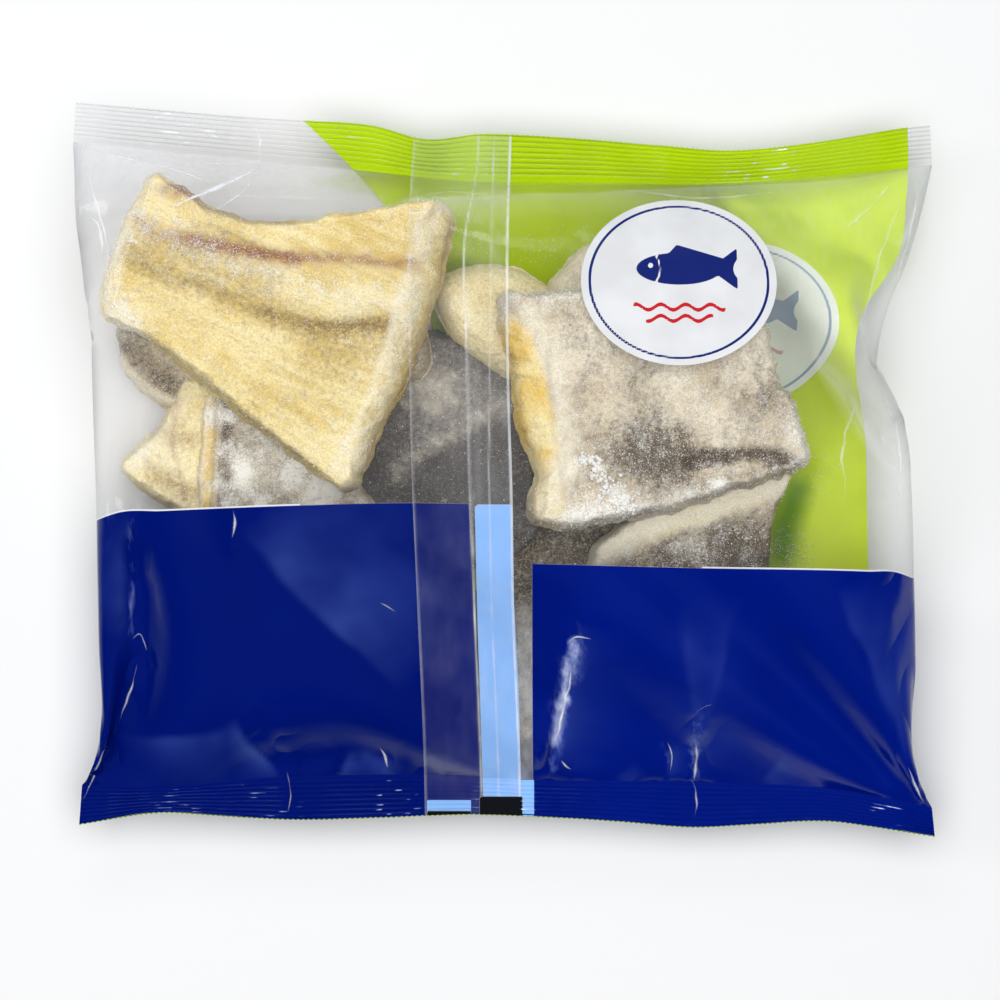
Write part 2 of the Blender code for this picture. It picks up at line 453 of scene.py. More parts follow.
class Recipe:
    """A short way to write a node material."""

    def __init__(self, name):
        self.material = bpy.data.materials.new(name)
        self.material.use_nodes = True
        self.tree = self.material.node_tree
        self.tree.nodes.clear()
        self.output = self.node("OutputMaterial", {})
        self.place = self.node("TexCoord", {}).outputs["Object"]

    def node(self, kind, inputs, **settings):
        """A new node, with its inputs by name or number and its other settings."""
        node = self.tree.nodes.new("ShaderNode" + kind)
        for name, setting in settings.items():
            setattr(node, name, setting)
        for name, value in inputs.items():
            socket = node.inputs[name]
            if isinstance(value, bpy.types.NodeSocket):
                self.tree.links.new(value, socket)
            elif isinstance(value, tuple) and len(value) == 3 and socket.type == "RGBA":
                socket.default_value = (*value, 1.0)
            else:
                socket.default_value = value
        return node

    def value(self, name):
        """A value stored on the mesh."""
        return self.node("Attribute", {}, attribute_name=name).outputs["Fac"]

    def math(self, operation, first, second=0.0, clamp=False):
        """One step of arithmetic."""
        node = self.node("Math", {0: first, 1: second}, operation=operation, use_clamp=clamp)
        return node.outputs[0]

    def times(self, first, second, clamp=False):
        return self.math("MULTIPLY", first, second, clamp)

    def add(self, total, *parts):
        """The total plus every part, where a part may be a (value, weight) pair."""
        for part in parts:
            if isinstance(part, tuple):
                part = self.times(*part)
            total = self.math("ADD", total, part)
        return total

    def spread(self, value, low, high, to_low=0.0, to_high=1.0):
        """value between low and high, stretched to the new range and clamped."""
        inputs = dict(enumerate((value, low, high, to_low, to_high)))
        return self.node("MapRange", inputs).outputs[0]

    def noise(self, size, detail=2.0, roughness=0.5, stretch=None, turn=0.0):
        """Noise with bumps of about that size, in metres."""
        place = self.place
        if stretch is not None:
            shares = tuple(1.0 / share for share in stretch)
            inputs = {"Vector": place, "Rotation": (0.0, 0.0, turn), "Scale": shares}
            place = self.node("Mapping", inputs, vector_type="TEXTURE").outputs[0]
        inputs = {"Vector": place, "Scale": 1.0 / size, "Detail": detail, "Roughness": roughness}
        return self.node("TexNoise", inputs).outputs["Fac"]

    def even_noise(self, *settings, **more):
        """Noise that goes as far below 0 as above it."""
        return self.math("SUBTRACT", self.noise(*settings, **more), 0.5)

    def cells(self, size):
        """For many small cells: the distance from the middle of one, and its own number."""
        node = self.node("TexVoronoi", {"Vector": self.place, "Scale": 1.0 / size})
        return node.outputs["Distance"], node.outputs["Color"]

    def blend(self, share, first, second, kind="MIX"):
        inputs = {0: share, 6: first, 7: second}
        return self.node("Mix", inputs, data_type="RGBA", blend_type=kind).outputs[2]

    def scale_colour(self, colour, share):
        return self.blend(1.0, colour, share, "MULTIPLY")

    def bump(self, height, distance, strength=1.0, under=None):
        """A relief in the light only, on top of the one under it."""
        inputs = {"Height": height, "Distance": distance, "Strength": strength}
        if under is not None:
            inputs["Normal"] = under
        return self.node("Bump", inputs).outputs[0]

    def shader(self, kind, **settings):
        inputs = {name.replace("_", " "): value for name, value in settings.items()}
        return self.node("Bsdf" + kind, inputs).outputs[0]

    def body(self, colour, roughness, gloss, **more):
        """An opaque surface."""
        return self.shader(
            "Principled", Base_Color=colour, Roughness=roughness, Specular_IOR_Level=gloss, **more
        )

    def mix_shaders(self, share, first, second):
        return self.node("MixShader", {0: share, 1: first, 2: second}).outputs[0]

    def finish(self, shader):
        """The finished material, with that shader as its surface."""
        self.tree.links.new(shader, self.output.inputs["Surface"])
        return self.material


def srgb(red, green, blue):
    """A colour as a picture editor gives it, from 0 to 255, as Blender wants it."""
    shares = [value / 255 for value in (red, green, blue)]
    return tuple(s / 12.92 if s <= 0.04045 else ((s + 0.055) / 1.055) ** 2.4 for s in shares)


def cod_material(name, light, middle, dark, stain_colour, streaks=0.0):
    """Dried fish: three tones in patches, stained lines, and salt over it.

    Values on the mesh: shade darkens, for the fish's own darker patches and as painted shade in
    a groove and a fold; stain browns; pale whitens, and on one ridge also paints light; flesh
    turns skin to yellow flesh; frost covers with salt. streaks is how far the tone follows the
    muscle.
    """
    r = Recipe(name)
    broad = r.noise(0.013)
    mottle = r.even_noise(0.0034, detail=5.0, roughness=0.68)
    grain = r.even_noise(0.00055, roughness=0.8)
    fleck = r.even_noise(0.0013, roughness=0.7)
    muscle = r.even_noise(0.003, detail=3.0, stretch=(0.14, 1.0, 1.0), turn=-0.45)
    specks = r.add(r.times(grain, 3.2), 1.0)
    tone = r.add(broad, (mottle, 0.5), (muscle, streaks), (grain, 0.35))
    colour = r.blend(r.spread(tone, 0.28, 0.68), middle, light)
    shade = r.add(r.times(r.value("shade"), specks), r.add(mottle, (fleck, 1.3)))
    colour = r.blend(r.spread(shade, 0.1, 1.0), colour, dark)
    flesh = r.add(r.value("flesh"), mottle)
    yellow = r.blend(r.spread(broad, 0.4, 0.6), srgb(232, 198, 108), srgb(244, 226, 168))
    colour = r.blend(r.spread(flesh, 0.25, 0.75), colour, yellow)
    pale = r.add(r.value("pale"), (mottle, 1.1))
    colour = r.blend(r.spread(pale, 0.15, 1.0, 0.0, 0.85), colour, srgb(248, 240, 216))
    stain = r.times(r.times(r.value("stain"), specks), r.add(r.times(mottle, 3.0), 1.0))
    colour = r.blend(r.spread(stain, 0.1, 1.1, 0.0, 0.92), colour, stain_colour)
    colour = r.scale_colour(colour, r.spread(grain, -0.18, 0.16, 0.8, 1.1))
    near, lot = r.cells(0.00045)
    dots = r.times(r.spread(near, 0.22, 0.38, 0.8, 0.0), r.spread(lot, 0.46, 0.56))
    dots = r.times(dots, r.spread(r.add(r.value("frost"), mottle), -0.05, 0.5, 0.05, 1.0))
    frost = r.add(r.value("frost"), (mottle, 1.5), (grain, 2.0))
    white = r.math("MAXIMUM", dots, r.spread(frost, 0.32, 0.95, 0.0, 0.9))
    colour = r.blend(white, colour, srgb(254, 251, 242))
    normal = r.bump(muscle, 0.0012, min(1.0, streaks))
    normal = r.bump(mottle, 0.0012, 0.7, under=normal)
    normal = r.bump(grain, 0.0004, 0.7, under=normal)
    normal = r.bump(white, 0.0001, 0.5, under=normal)
    return r.finish(r.body(colour, r.spread(grain, -0.2, 0.2, 0.42, 0.72), 0.3, Normal=normal))


def salt_material():
    """Crystals: white, a little clear, so that light comes through them."""
    r = Recipe("salt_grains")
    tone = r.noise(0.002)
    colour = r.blend(r.spread(tone, 0.4, 0.6), srgb(250, 248, 244), srgb(255, 254, 250))
    body = r.body(colour, r.spread(tone, 0.3, 0.7, 0.2, 0.4), 0.6)
    through = r.shader("Translucent", Color=colour)
    return r.finish(r.mix_shaders(0.2, body, through))


BLUE = srgb(0, 16, 100)
BLUE_LIGHT = srgb(0, 20, 116)
SKY = srgb(134, 180, 236)
LIME = srgb(174, 205, 0)
LIME_SHADE = srgb(170, 192, 22)
LIME_LIGHT = srgb(203, 225, 60)
LIME_DEEP = srgb(92, 138, 16)
NAVY = srgb(20, 34, 104)
WHITE_INK = srgb(212, 213, 215)
BLACK = srgb(18, 18, 22)
INK_SHINE = (0.5, 0.7, 1.0)


def film_material(name, haze, print_fields=(), tint=0.993, gloss=0.026):
    """Clear glossy film, whitened by haze, with opaque ink where a print field is above 0.

    print_fields are (value name, colour, lighter colour), the later over the earlier. gloss
    is the share of light that the film mirrors where it faces the eye.
    Values on the mesh: haze whitens, with the film's own cloudiness and painted
    highlights; dim darkens, as painted shade at the film's side folds and in its ridged welds,
    crimp valleys and cut edges; fade turns an ink to its lighter colour, which across the far
    film's green is painted light and shade; scuff is a painted sheen that lightens the
    ink; crumple folds the film into facets; and glint is a painted highlight of a sharp fold,
    over the print too.
    """
    r = Recipe(name)
    ripple = r.noise(0.006)
    streak = r.noise(0.0022, stretch=(1.0, 0.18, 1.0))
    cloud = r.noise(0.02)
    folds = r.math("ABSOLUTE", r.even_noise(0.009, detail=0.0, stretch=(1.0, 0.4, 1.0)))
    normal = r.bump(ripple, 0.0003, 0.35)
    normal = r.bump(r.times(folds, r.value("crumple")), 0.006, 1.0, under=normal)
    # Painted highlights: glint, torn by noise, turns the film and its print white
    torn = r.even_noise(0.003, detail=3.0, roughness=0.6, stretch=(1.0, 0.3, 1.0))
    glint = r.add(r.value("glint"), (torn, 0.9))
    glint = r.times(r.spread(glint, 0.1, 0.8), r.spread(r.value("glint"), 0.0, 0.25))
    rim = r.node("LayerWeight", {"Blend": 0.5}).outputs["Facing"]
    mirror = r.spread(r.math("POWER", rim, 3.5), 0.0, 1.0, gloss, 0.75)
    # Painted shade: dim darkens what shows through the film
    through = r.blend(r.value("dim"), (tint, tint, tint * 1.003), (0.45, 0.46, 0.48))
    clear = r.shader("Transparent", Color=through)
    shine = r.shader("Glossy", Color=(1.0, 1.0, 1.0), Roughness=0.12, Normal=normal)
    film = r.mix_shaders(mirror, clear, shine)
    # The film's own cloudiness and painted highlights whiten it
    milk_and_highlight = r.add(r.value("haze"), r.spread(cloud, 0.4, 0.62, 0.6 * haze, 1.6 * haze))
    milk_and_highlight = r.times(milk_and_highlight, r.spread(streak, 0.3, 0.7, 0.75, 1.25), clamp=True)
    white = r.shader("Diffuse", Color=srgb(236, 238, 242))
    film = r.mix_shaders(milk_and_highlight, film, white)
    if not print_fields:
        return r.finish(film)
    colour = (0.8, 0.8, 0.8)
    cover = 0.0
    for field, ink, lighter_ink in print_fields:
        mask = r.spread(r.value(field), -0.06, 0.06)
        printed = r.blend(r.value("fade"), ink, lighter_ink)
        colour = r.blend(mask, colour, printed)
        cover = r.math("MAXIMUM", cover, mask)
    # Painted sheen: on its facets the ink turns a lighter blue
    scuffed = r.times(r.value("scuff"), r.spread(cloud, 0.35, 0.65, 0.6, 1.3))
    colour = r.blend(scuffed, colour, srgb(92, 124, 208))
    colour = r.scale_colour(colour, r.spread(cloud, 0.3, 0.7, 0.95, 1.06))
    ink = r.body(colour, 0.12, 0.26, Specular_Tint=INK_SHINE, Normal=normal)
    # Colour of the painted highlights: white at their cores, at their rims pale blue over the print
    # and white over clear film
    weak = r.blend(cover, srgb(246, 248, 252), srgb(130, 156, 226))
    glare = r.shader("Diffuse", Color=r.blend(glint, weak, srgb(250, 251, 254)))
    return r.finish(r.mix_shaders(glint, r.mix_shaders(cover, film, ink), glare))


# Fish pieces


def slab(name, corners, base, thickness, material, look, edge=0.0028, bevels=(), crust=0.0005,
         ragged=0.0006, around=440, seed=1):
    """A cut piece of fish: a closed mesh with a rounded, slightly ragged rim.

    corners are photograph places round the piece, and bevels are ((X, Y) direction,
    width) pairs that slope the rim on that side. crust is the height of the small lumps
    all over it. look(points) gives the relief of the top in metres and the values that the
    material reads, by name.
    """
    level = base + 0.7 * thickness
    rim = closed_curve([spot(column, row, level) for column, row in corners], around)
    ahead = np.roll(rim, -1, axis=0)
    if np.sum(rim[:, 0] * ahead[:, 1] - rim[:, 1] * ahead[:, 0]) < 0:
        rim = rim[::-1]
    out = np.roll(rim, -1, axis=0) - np.roll(rim, 1, axis=0)
    out = np.column_stack([out[:, 1], -out[:, 0]]) / np.linalg.norm(out, axis=1)[:, None]
    flat = np.column_stack([rim, np.zeros(around)])
    wobble = soft_noise(flat, 0.006, seed) + 0.6 * soft_noise(flat, 0.002, seed + 1)
    rim = rim + out * (ragged * wobble)[:, None]
    middle = rim.mean(axis=0)
    reach = np.linalg.norm(rim - middle, axis=1)
    slope = np.full(around, edge)
    cut = np.zeros(around)
    for direction, width in bevels:
        facing = np.clip(out @ (np.array(direction) / np.hypot(*direction)), 0.0, 1.0) ** 3
        slope = slope + width * facing
        cut = cut + facing
    crown = min(0.75 * thickness, 0.012)
    foot = min(0.2 * thickness, 0.0025)
    rings = []
    sides = []

    def add_ring(inset, height, side, outward=0.0):
        place = rim - (rim - middle) * (inset / reach)[:, None] + out * outward
        rings.append(np.column_stack([place, np.broadcast_to(height, around)]))
        sides.append(side)

    for share in np.linspace(1.0, 0.0, 45)[1:]:
        inset = reach * share**1.6
        down = 1 - np.minimum(inset / slope, 1.0)
        fall = crown * ((1 - cut) * (1 - np.sqrt(1 - down**2)) + cut * (0.4 * down + 0.6 * down**9))
        add_ring(inset, base + thickness - fall, 0.0)
    wall_top = base + thickness - crown
    for share in np.linspace(0.0, 1.0, 6)[1:-1]:
        high = wall_top + (base + foot - wall_top) * share
        add_ring(0.0, high, 1.0, outward=0.0006 * math.sin(math.pi * share))
    for share in np.linspace(0.0, 1.0, 8)[:-1]:
        inset = reach * share**1.5
        lift = foot * (1 - np.sqrt(1 - (1 - np.minimum(inset / (1.5 * foot), 1.0)) ** 2))
        add_ring(inset, base + lift, 2.0)
    points = np.vstack(rings)
    side = np.repeat(sides, around)
    values = look(points)
    relief = values.pop("relief")
    fade = np.clip((points[:, 2] - wall_top) / crown, 0.0, 1.0) ** 0.5
    lumps = crust * layered_noise(points, 0.0045, seed + 5)
    lumps += 0.4 * crust * soft_noise(points, 0.0015, seed + 7)
    points[:, 2] += np.where(side == 0.0, (relief + lumps) * fade, 0.0)
    rough_side = 0.0009 * layered_noise(points, 0.005, seed + 9) * (1.1 - fade) * (side < 2.0)
    points[:, :2] += np.tile(out, (len(rings), 1)) * rough_side[:, None]
    tip = np.array([[*middle, points[:around, 2].mean()], [*middle, base]])
    points = np.vstack([points, tip])
    points[:, 2] = np.maximum(points[:, 2], 0.0007)
    count = len(rings)
    index = np.arange(count * around).reshape(count, around)
    after = np.roll(index, -1, axis=1)
    quads = np.stack([index[:-1], index[1:], after[1:], after[:-1]], axis=-1)
    faces = quads.reshape(-1, 4).tolist()
    top_tip = count * around
    faces += [(top_tip, a, b) for a, b in zip(index[0].tolist(), after[0].tolist())]
    faces += [(top_tip + 1, b, a) for a, b in zip(index[-1].tolist(), after[-1].tolist())]
    piece = new_object(name, points, faces, material)
    stored = {}
    for key, value in values.items():
        numbers = np.broadcast_to(value, count * around).astype(float)
        rows = numbers.reshape(count, around)
        stored[key] = np.concatenate([numbers, [rows[0].mean(), rows[-1].mean()]])
    give_values(piece, **stored)
    return piece, points


VALUES = ("relief", "shade", "stain", "pale", "frost", "flesh")

# Marks on the fish, by the value that they add to: how much, a path or one place in the
# photograph, its width or half size in metres, and a power where a path has a flat middle
VEIN = ((138, 222), (164, 236), (218, 245), (278, 257), (350, 260), (415, 265))
GROOVE = ((120, 250), (162, 277), (227, 296), (275, 320), (330, 330), (392, 322))
MAIN_MARKS = {
    "relief": (
        (-0.0004, VEIN, 0.0014),
        (-0.0009, GROOVE, 0.0026),
        (-0.0007, ((150, 305), (200, 330), (250, 362), (300, 400), (330, 440)), 0.0026),
        (0.0012, ((200, 222), (300, 238), (400, 232)), 0.005),
        (0.001, ((190, 262), (290, 288), (390, 296)), 0.0046),
    ),
    "stain": (
        (0.5, VEIN, 0.0019),
        (0.45, ((186, 240), (230, 250), (296, 260)), 0.0024),
        (0.16, VEIN, 0.0048),
        (0.6, (176, 190), (0.005, 0.0032)),
        (0.55, ((176, 184), (206, 207), (245, 218), (292, 222)), 0.001),
        (0.42, ((452, 222), (438, 290), (412, 366), (385, 426), (362, 476)), 0.001),
    ),
    "shade": (
        # Painted shade in the groove
        (0.34, GROOVE, 0.0024),
        (0.34, ((262, 310), (315, 326), (384, 324)), 0.0024),
        (0.16, GROOVE, 0.007),
        (0.36, ((150, 240), (215, 262), (270, 280)), 0.006),
        (0.28, ((330, 352), (395, 345)), 0.007),
        (0.14, (290, 390), (0.024, 0.014)),
        (0.3, (215, 240), (0.011, 0.005)),
        (0.5, ((112, 324), (149, 339), (188, 368), (260, 428), (320, 472)), 0.0016),
    ),
    "pale": (
        (0.55, ((436, 205), (421, 270), (400, 350), (374, 420), (348, 482)), 0.003),
        (0.7, ((110, 240), (102, 300), (130, 330)), 0.0046),
        (0.5, ((150, 182), (115, 240)), 0.0036),
        (0.45, (366, 300), (0.013, 0.006)),
        (0.25, (330, 450), (0.011, 0.008)),
        (0.5, ((424, 207), (408, 270), (388, 344), (362, 410), (334, 470)), 0.0014),
    ),
    "frost": (
        (0.1, ((420, 215), (400, 330), (350, 470)), 0.006),
        (0.34, ((124, 205), (106, 290), (140, 330)), 0.005),
        (0.34, ((150, 225), (235, 268), (330, 292)), 0.0058),
    ),
}

RIGHT_LOWER_RIM = ((545, 517), (600, 515), (660, 502), (720, 484))
SKIN_FOLD = ((690, 463), (715, 457), (745, 454), (770, 456), (795, 462))
RIGHT_MARKS = {
    "relief": (
        (-0.0016, SKIN_FOLD, 0.0018),
        (-0.0014, ((548, 330), (560, 400), (572, 470)), 0.004),
        (0.0018, (600, 330), (0.014, 0.01)),
        (0.0014, (720, 410), (0.018, 0.01)),
        (0.0016, (610, 482), (0.006, 0.0034)),
        (0.001, ((540, 516), (620, 512), (700, 488)), 0.003),
    ),
    "shade": (
        (0.78, (646, 450), (0.013, 0.011)),
        (0.18, (614, 362), (0.011, 0.01)),
        (0.22, (764, 400), (0.009, 0.014)),
        # Painted shade in the skin's fold
        (0.4, (706, 458), (0.009, 0.003)),
        (0.95, SKIN_FOLD, 0.0019),
        (0.35, ((575, 520), (620, 505), (680, 480)), 0.002),
        (0.4, ((640, 508), (700, 488), (780, 466)), 0.002),
        (-0.22, (694, 410), (0.012, 0.01)),
        (-0.3, (700, 500), (0.024, 0.006)),
    ),
    "flesh": (
        (1.05, ((515, 348), (526, 385), (534, 415), (540, 452)), 0.006, 4),
        (0.55, ((505, 330), (534, 440), (548, 500), (546, 524)), 0.0062, 4),
    ),
    "pale": (
        (0.7, ((532, 318), (552, 360), (564, 410), (568, 470)), 0.0044),
        (0.55, ((556, 470), (548, 518)), 0.005),
        (0.4, ((768, 330), (796, 420), (800, 465)), 0.0036),
        (0.12, ((600, 520), (700, 494), (790, 468)), 0.0034),
        (0.26, (694, 408), (0.012, 0.009)),
        (0.25, ((520, 300), (600, 300)), 0.005),
    ),
    "frost": (
        (0.3, (590, 505), (0.01, 0.005)),
        (0.35, ((504, 296), (560, 294), (590, 290)), 0.0034),
        (0.4, ((800, 430), (806, 462)), 0.0034),
    ),
    "stain": (
        (0.3, SKIN_FOLD, 0.0014),
        (0.55, ((536, 523), (590, 524), (640, 514), (700, 498), (755, 482), (800, 467)), 0.0009),
        (0.25, ((548, 345), (552, 420), (565, 500)), 0.0012),
    ),
}

CREAM_RIM = ((119, 360), (130, 378), (150, 394), (172, 405), (200, 404))
LEFT_SKIN_MARKS = {
    "pale": ((0.9, CREAM_RIM, 0.0022),),
    "flesh": ((0.5, CREAM_RIM, 0.002),),
    "shade": ((0.4, ((125, 345), (150, 370), (175, 388)), 0.004),),
}

TAIL_MARKS = {
    "pale": (
        (0.15, (150, 462), (0.01, 0.008)),
        (0.5, ((122, 470), (150, 440), (180, 400)), 0.003),
    ),
    "shade": (
        (0.45, ((150, 470), (175, 486), (198, 492)), 0.003),
        (0.35, ((165, 430), (190, 440)), 0.003),
    ),
    "stain": (
        (0.35, ((178, 400), (172, 440), (186, 500)), 0.0014),
        (0.34, ((128, 484), (155, 500), (190, 512)), 0.002),
        (0.24, ((150, 436), (170, 410), (184, 388)), 0.0016),
    ),
}

STRIP_MARKS = {
    "relief": ((-0.0016, ((219, 400), (217, 450), (214, 520)), 0.001),),
    "shade": (
        (0.5, ((228, 400), (226, 450), (222, 520)), 0.0026),
        (-0.6, ((209, 395), (206, 450), (203, 520)), 0.0034, 4),
    ),
    "flesh": ((0.65, ((209, 395), (206, 450), (203, 520)), 0.003, 4),),
    "pale": ((0.5, ((206, 395), (203, 450), (199, 520)), 0.0018),),
    "stain": ((0.5, ((198, 430), (196, 510)), 0.001),),
    "frost": ((0.35, (300, 485), (0.02, 0.01)),),
}

PALE_BAND = ((398, 472), (430, 446), (470, 424), (520, 396))
DARK_MARKS = {
    "relief": ((0.0012, PALE_BAND, 0.005),),
    "pale": (
        (0.3, PALE_BAND, 0.0034),
        (0.44, (432, 392), (0.01, 0.008)),
    ),
    "shade": (
        (0.08, (372, 450), (0.012, 0.022)),
        (0.3, (468, 478), (0.02, 0.01)),
        (-0.26, PALE_BAND, 0.0044),
        (-0.34, (436, 390), (0.012, 0.012)),
    ),
}

# The cream ridge: its own pale colour, made paler still as painted light against the shade of the
# right piece above it
CREAM_RIDGE = ((596, 552), (630, 532), (664, 516), (720, 500), (786, 476))
RIDGE_MARKS = {
    "relief": ((0.002, CREAM_RIDGE, 0.0045),),
    "pale": ((1.4, CREAM_RIDGE, 0.005),),
    "flesh": ((0.7, ((640, 536), (690, 516), (760, 492)), 0.004),),
    "frost": ((0.25, (690, 545), (0.016, 0.01)),),
    "shade": (
        (0.3, (700, 555), (0.026, 0.01)),
        (-0.7, CREAM_RIDGE, 0.006),
    ),
}


def add_marks(values, points, level, marks):
    """Adds a table of marks to the values of a piece whose top is about at that level."""
    for name, entries in marks.items():
        for amount, places, reach, *power in entries:
            if isinstance(places[0], tuple):
                shape = stroke(points, places, level, reach, *power)
            else:
                shape = patch(points, places, level, reach)
            values[name] = values[name] + amount * shape


def main_slab_look(points):
    """Upper left piece, flesh up: long muscle bands with a brown vein between two."""
    values = dict.fromkeys(VALUES, 0.0)
    add_marks(values, points, UPPER_BASE + 0.017, MAIN_MARKS)
    values["relief"] += 0.0009 * layered_noise(points, 0.022, 41)
    values["frost"] += 0.05 + 0.07 * layered_noise(points, 0.01, 45)
    return values


def right_slab_look(points):
    """Right piece, skin up: grey-brown skin under frost, yellow flesh along its left."""
    level = UPPER_BASE + 0.019
    values = dict.fromkeys(VALUES, 0.0)
    values["shade"] = 0.26 + 0.36 * layered_noise(points, 0.01, 63)
    values["shade"] += 0.26 * layered_noise(points * np.array([1.6, 0.7, 1.0]), 0.003, 64)
    lump = stroke(points, SALT_LUMP, level, 0.003) * (0.6 + 1.2 * soft_noise(points, 0.003, 69))
    values["frost"] = 0.17 + 0.24 * layered_noise(points, 0.007, 67) + 0.6 * np.maximum(0.0, lump)
    add_marks(values, points, level, RIGHT_MARKS)
    values["relief"] += 0.0011 * layered_noise(points, 0.018, 61)
    rim = stroke(points, RIGHT_LOWER_RIM, level, 0.0026)
    values["frost"] += 0.4 * rim * (1 + 1.6 * soft_noise(points, 0.004, 71))
    values["frost"] -= 0.2 * np.minimum(values["flesh"], 1.0)
    return values


def plain_look(shade=0.0, frost=0.1, pale=0.0, flesh=0.0, lumps=0.0008, size=0.012, seed=80,
               patchy=0.8, level=0.0, marks=None):
    """A look for a small piece: soft lumps, even values, and marks at a level."""

    def look(points):
        uneven = layered_noise(points, 0.007, seed + 3)
        values = {
            "relief": lumps * layered_noise(points, size, seed),
            "shade": shade * (1 + patchy * uneven),
            "stain": 0.0,
            "pale": pale * (1 + 0.5 * uneven),
            "frost": frost * (1 + 1.6 * layered_noise(points, 0.005, seed + 5)),
            "flesh": flesh * (1 + 0.3 * uneven),
        }
        add_marks(values, points, level, marks or {})
        return values

    return look


FLESH = cod_material(
    "cod_flesh",
    light=srgb(244, 226, 168),
    middle=srgb(224, 197, 122),
    dark=srgb(140, 114, 62),
    stain_colour=srgb(138, 74, 40),
    streaks=1.1,
)
SKIN = cod_material(
    "cod_skin",
    light=srgb(236, 224, 200),
    middle=srgb(200, 183, 154),
    dark=srgb(84, 72, 58),
    stain_colour=srgb(104, 70, 46),
)
DARK_SKIN = cod_material(
    "cod_dark_skin",
    light=srgb(172, 166, 158),
    middle=srgb(134, 129, 123),
    dark=srgb(86, 82, 80),
    stain_colour=srgb(84, 70, 58),
)
SMOOTH_FLESH = cod_material(
    "cod_smooth_flesh",
    light=srgb(252, 240, 196),
    middle=srgb(242, 223, 162),
    dark=srgb(170, 140, 88),
    stain_colour=srgb(138, 74, 40),
    streaks=0.3,
)

MAIN_SLAB = (
    (152, 174), (164, 177), (179, 185), (206, 206), (245, 218), (284, 221), (335, 212), (386, 206),
    (428, 199), (446, 202), (453, 216), (448, 245), (437, 290), (424, 330), (410, 368), (383, 425),
    (362, 474), (352, 488), (340, 489), (320, 476), (290, 453), (260, 431), (218, 398), (188, 371),
    (149, 341), (120, 326), (102, 318), (97, 303), (104, 266), (119, 227), (137, 191),
)
RIGHT_SLAB = (
    (506, 293), (540, 292), (586, 287), (640, 290), (700, 300), (761, 316), (771, 345), (779, 373),
    (796, 401), (803, 430), (810, 455), (806, 466), (789, 471), (755, 484), (721, 494), (690, 503),
    (664, 512), (625, 520), (586, 526), (550, 529), (533, 525), (528, 508), (534, 476), (524, 445),
    (516, 416), (511, 366), (502, 325), (498, 305),
)
LEFT_SKIN = (
    (116, 331), (135, 330), (180, 350), (215, 380), (215, 400), (193, 408), (168, 407), (148, 396),
    (129, 380), (119, 356),
)
TAIL = (
    (118, 470), (127, 455), (147, 436), (167, 413), (180, 385), (190, 374), (215, 385), (225, 430),
    (222, 500), (200, 520), (165, 505), (145, 492), (129, 480),
)
STRIP_SLAB = (
    (205, 392), (222, 388), (260, 400), (310, 430), (350, 470), (380, 510), (378, 560), (340, 590),
    (250, 590), (205, 585), (195, 540), (196, 470), (200, 420),
)
DARK_SLAB = (
    (380, 330), (430, 330), (480, 335), (530, 345), (545, 400), (540, 480), (535, 545), (470, 570),
    (400, 565), (350, 545), (330, 500), (345, 420), (360, 360),
)
TIP = (
    (434, 292), (440, 280), (453, 270), (472, 265), (500, 264), (530, 274), (560, 300), (570, 350),
    (540, 385), (505, 378), (480, 362), (455, 343), (440, 318),
)
BACK_RIDGE = (
    (548, 298), (556, 278), (572, 258), (588, 246), (606, 244), (640, 250), (650, 300), (600, 320),
    (560, 315),
)
LOWER_RIGHT = (
    (590, 556), (606, 532), (640, 512), (680, 496), (730, 478), (786, 462), (790, 482), (776, 508),
    (771, 560), (765, 610), (700, 640), (630, 635), (590, 600),
)
LOWER_MIDDLE = (
    (512, 470), (550, 470), (600, 490), (640, 530), (640, 600), (600, 660), (560, 720), (520, 745),
    (500, 700), (505, 600), (506, 520),
)
CHIP = (
    (395, 318), (408, 312), (424, 322), (430, 345), (426, 368), (414, 380), (400, 372), (394, 345),
)


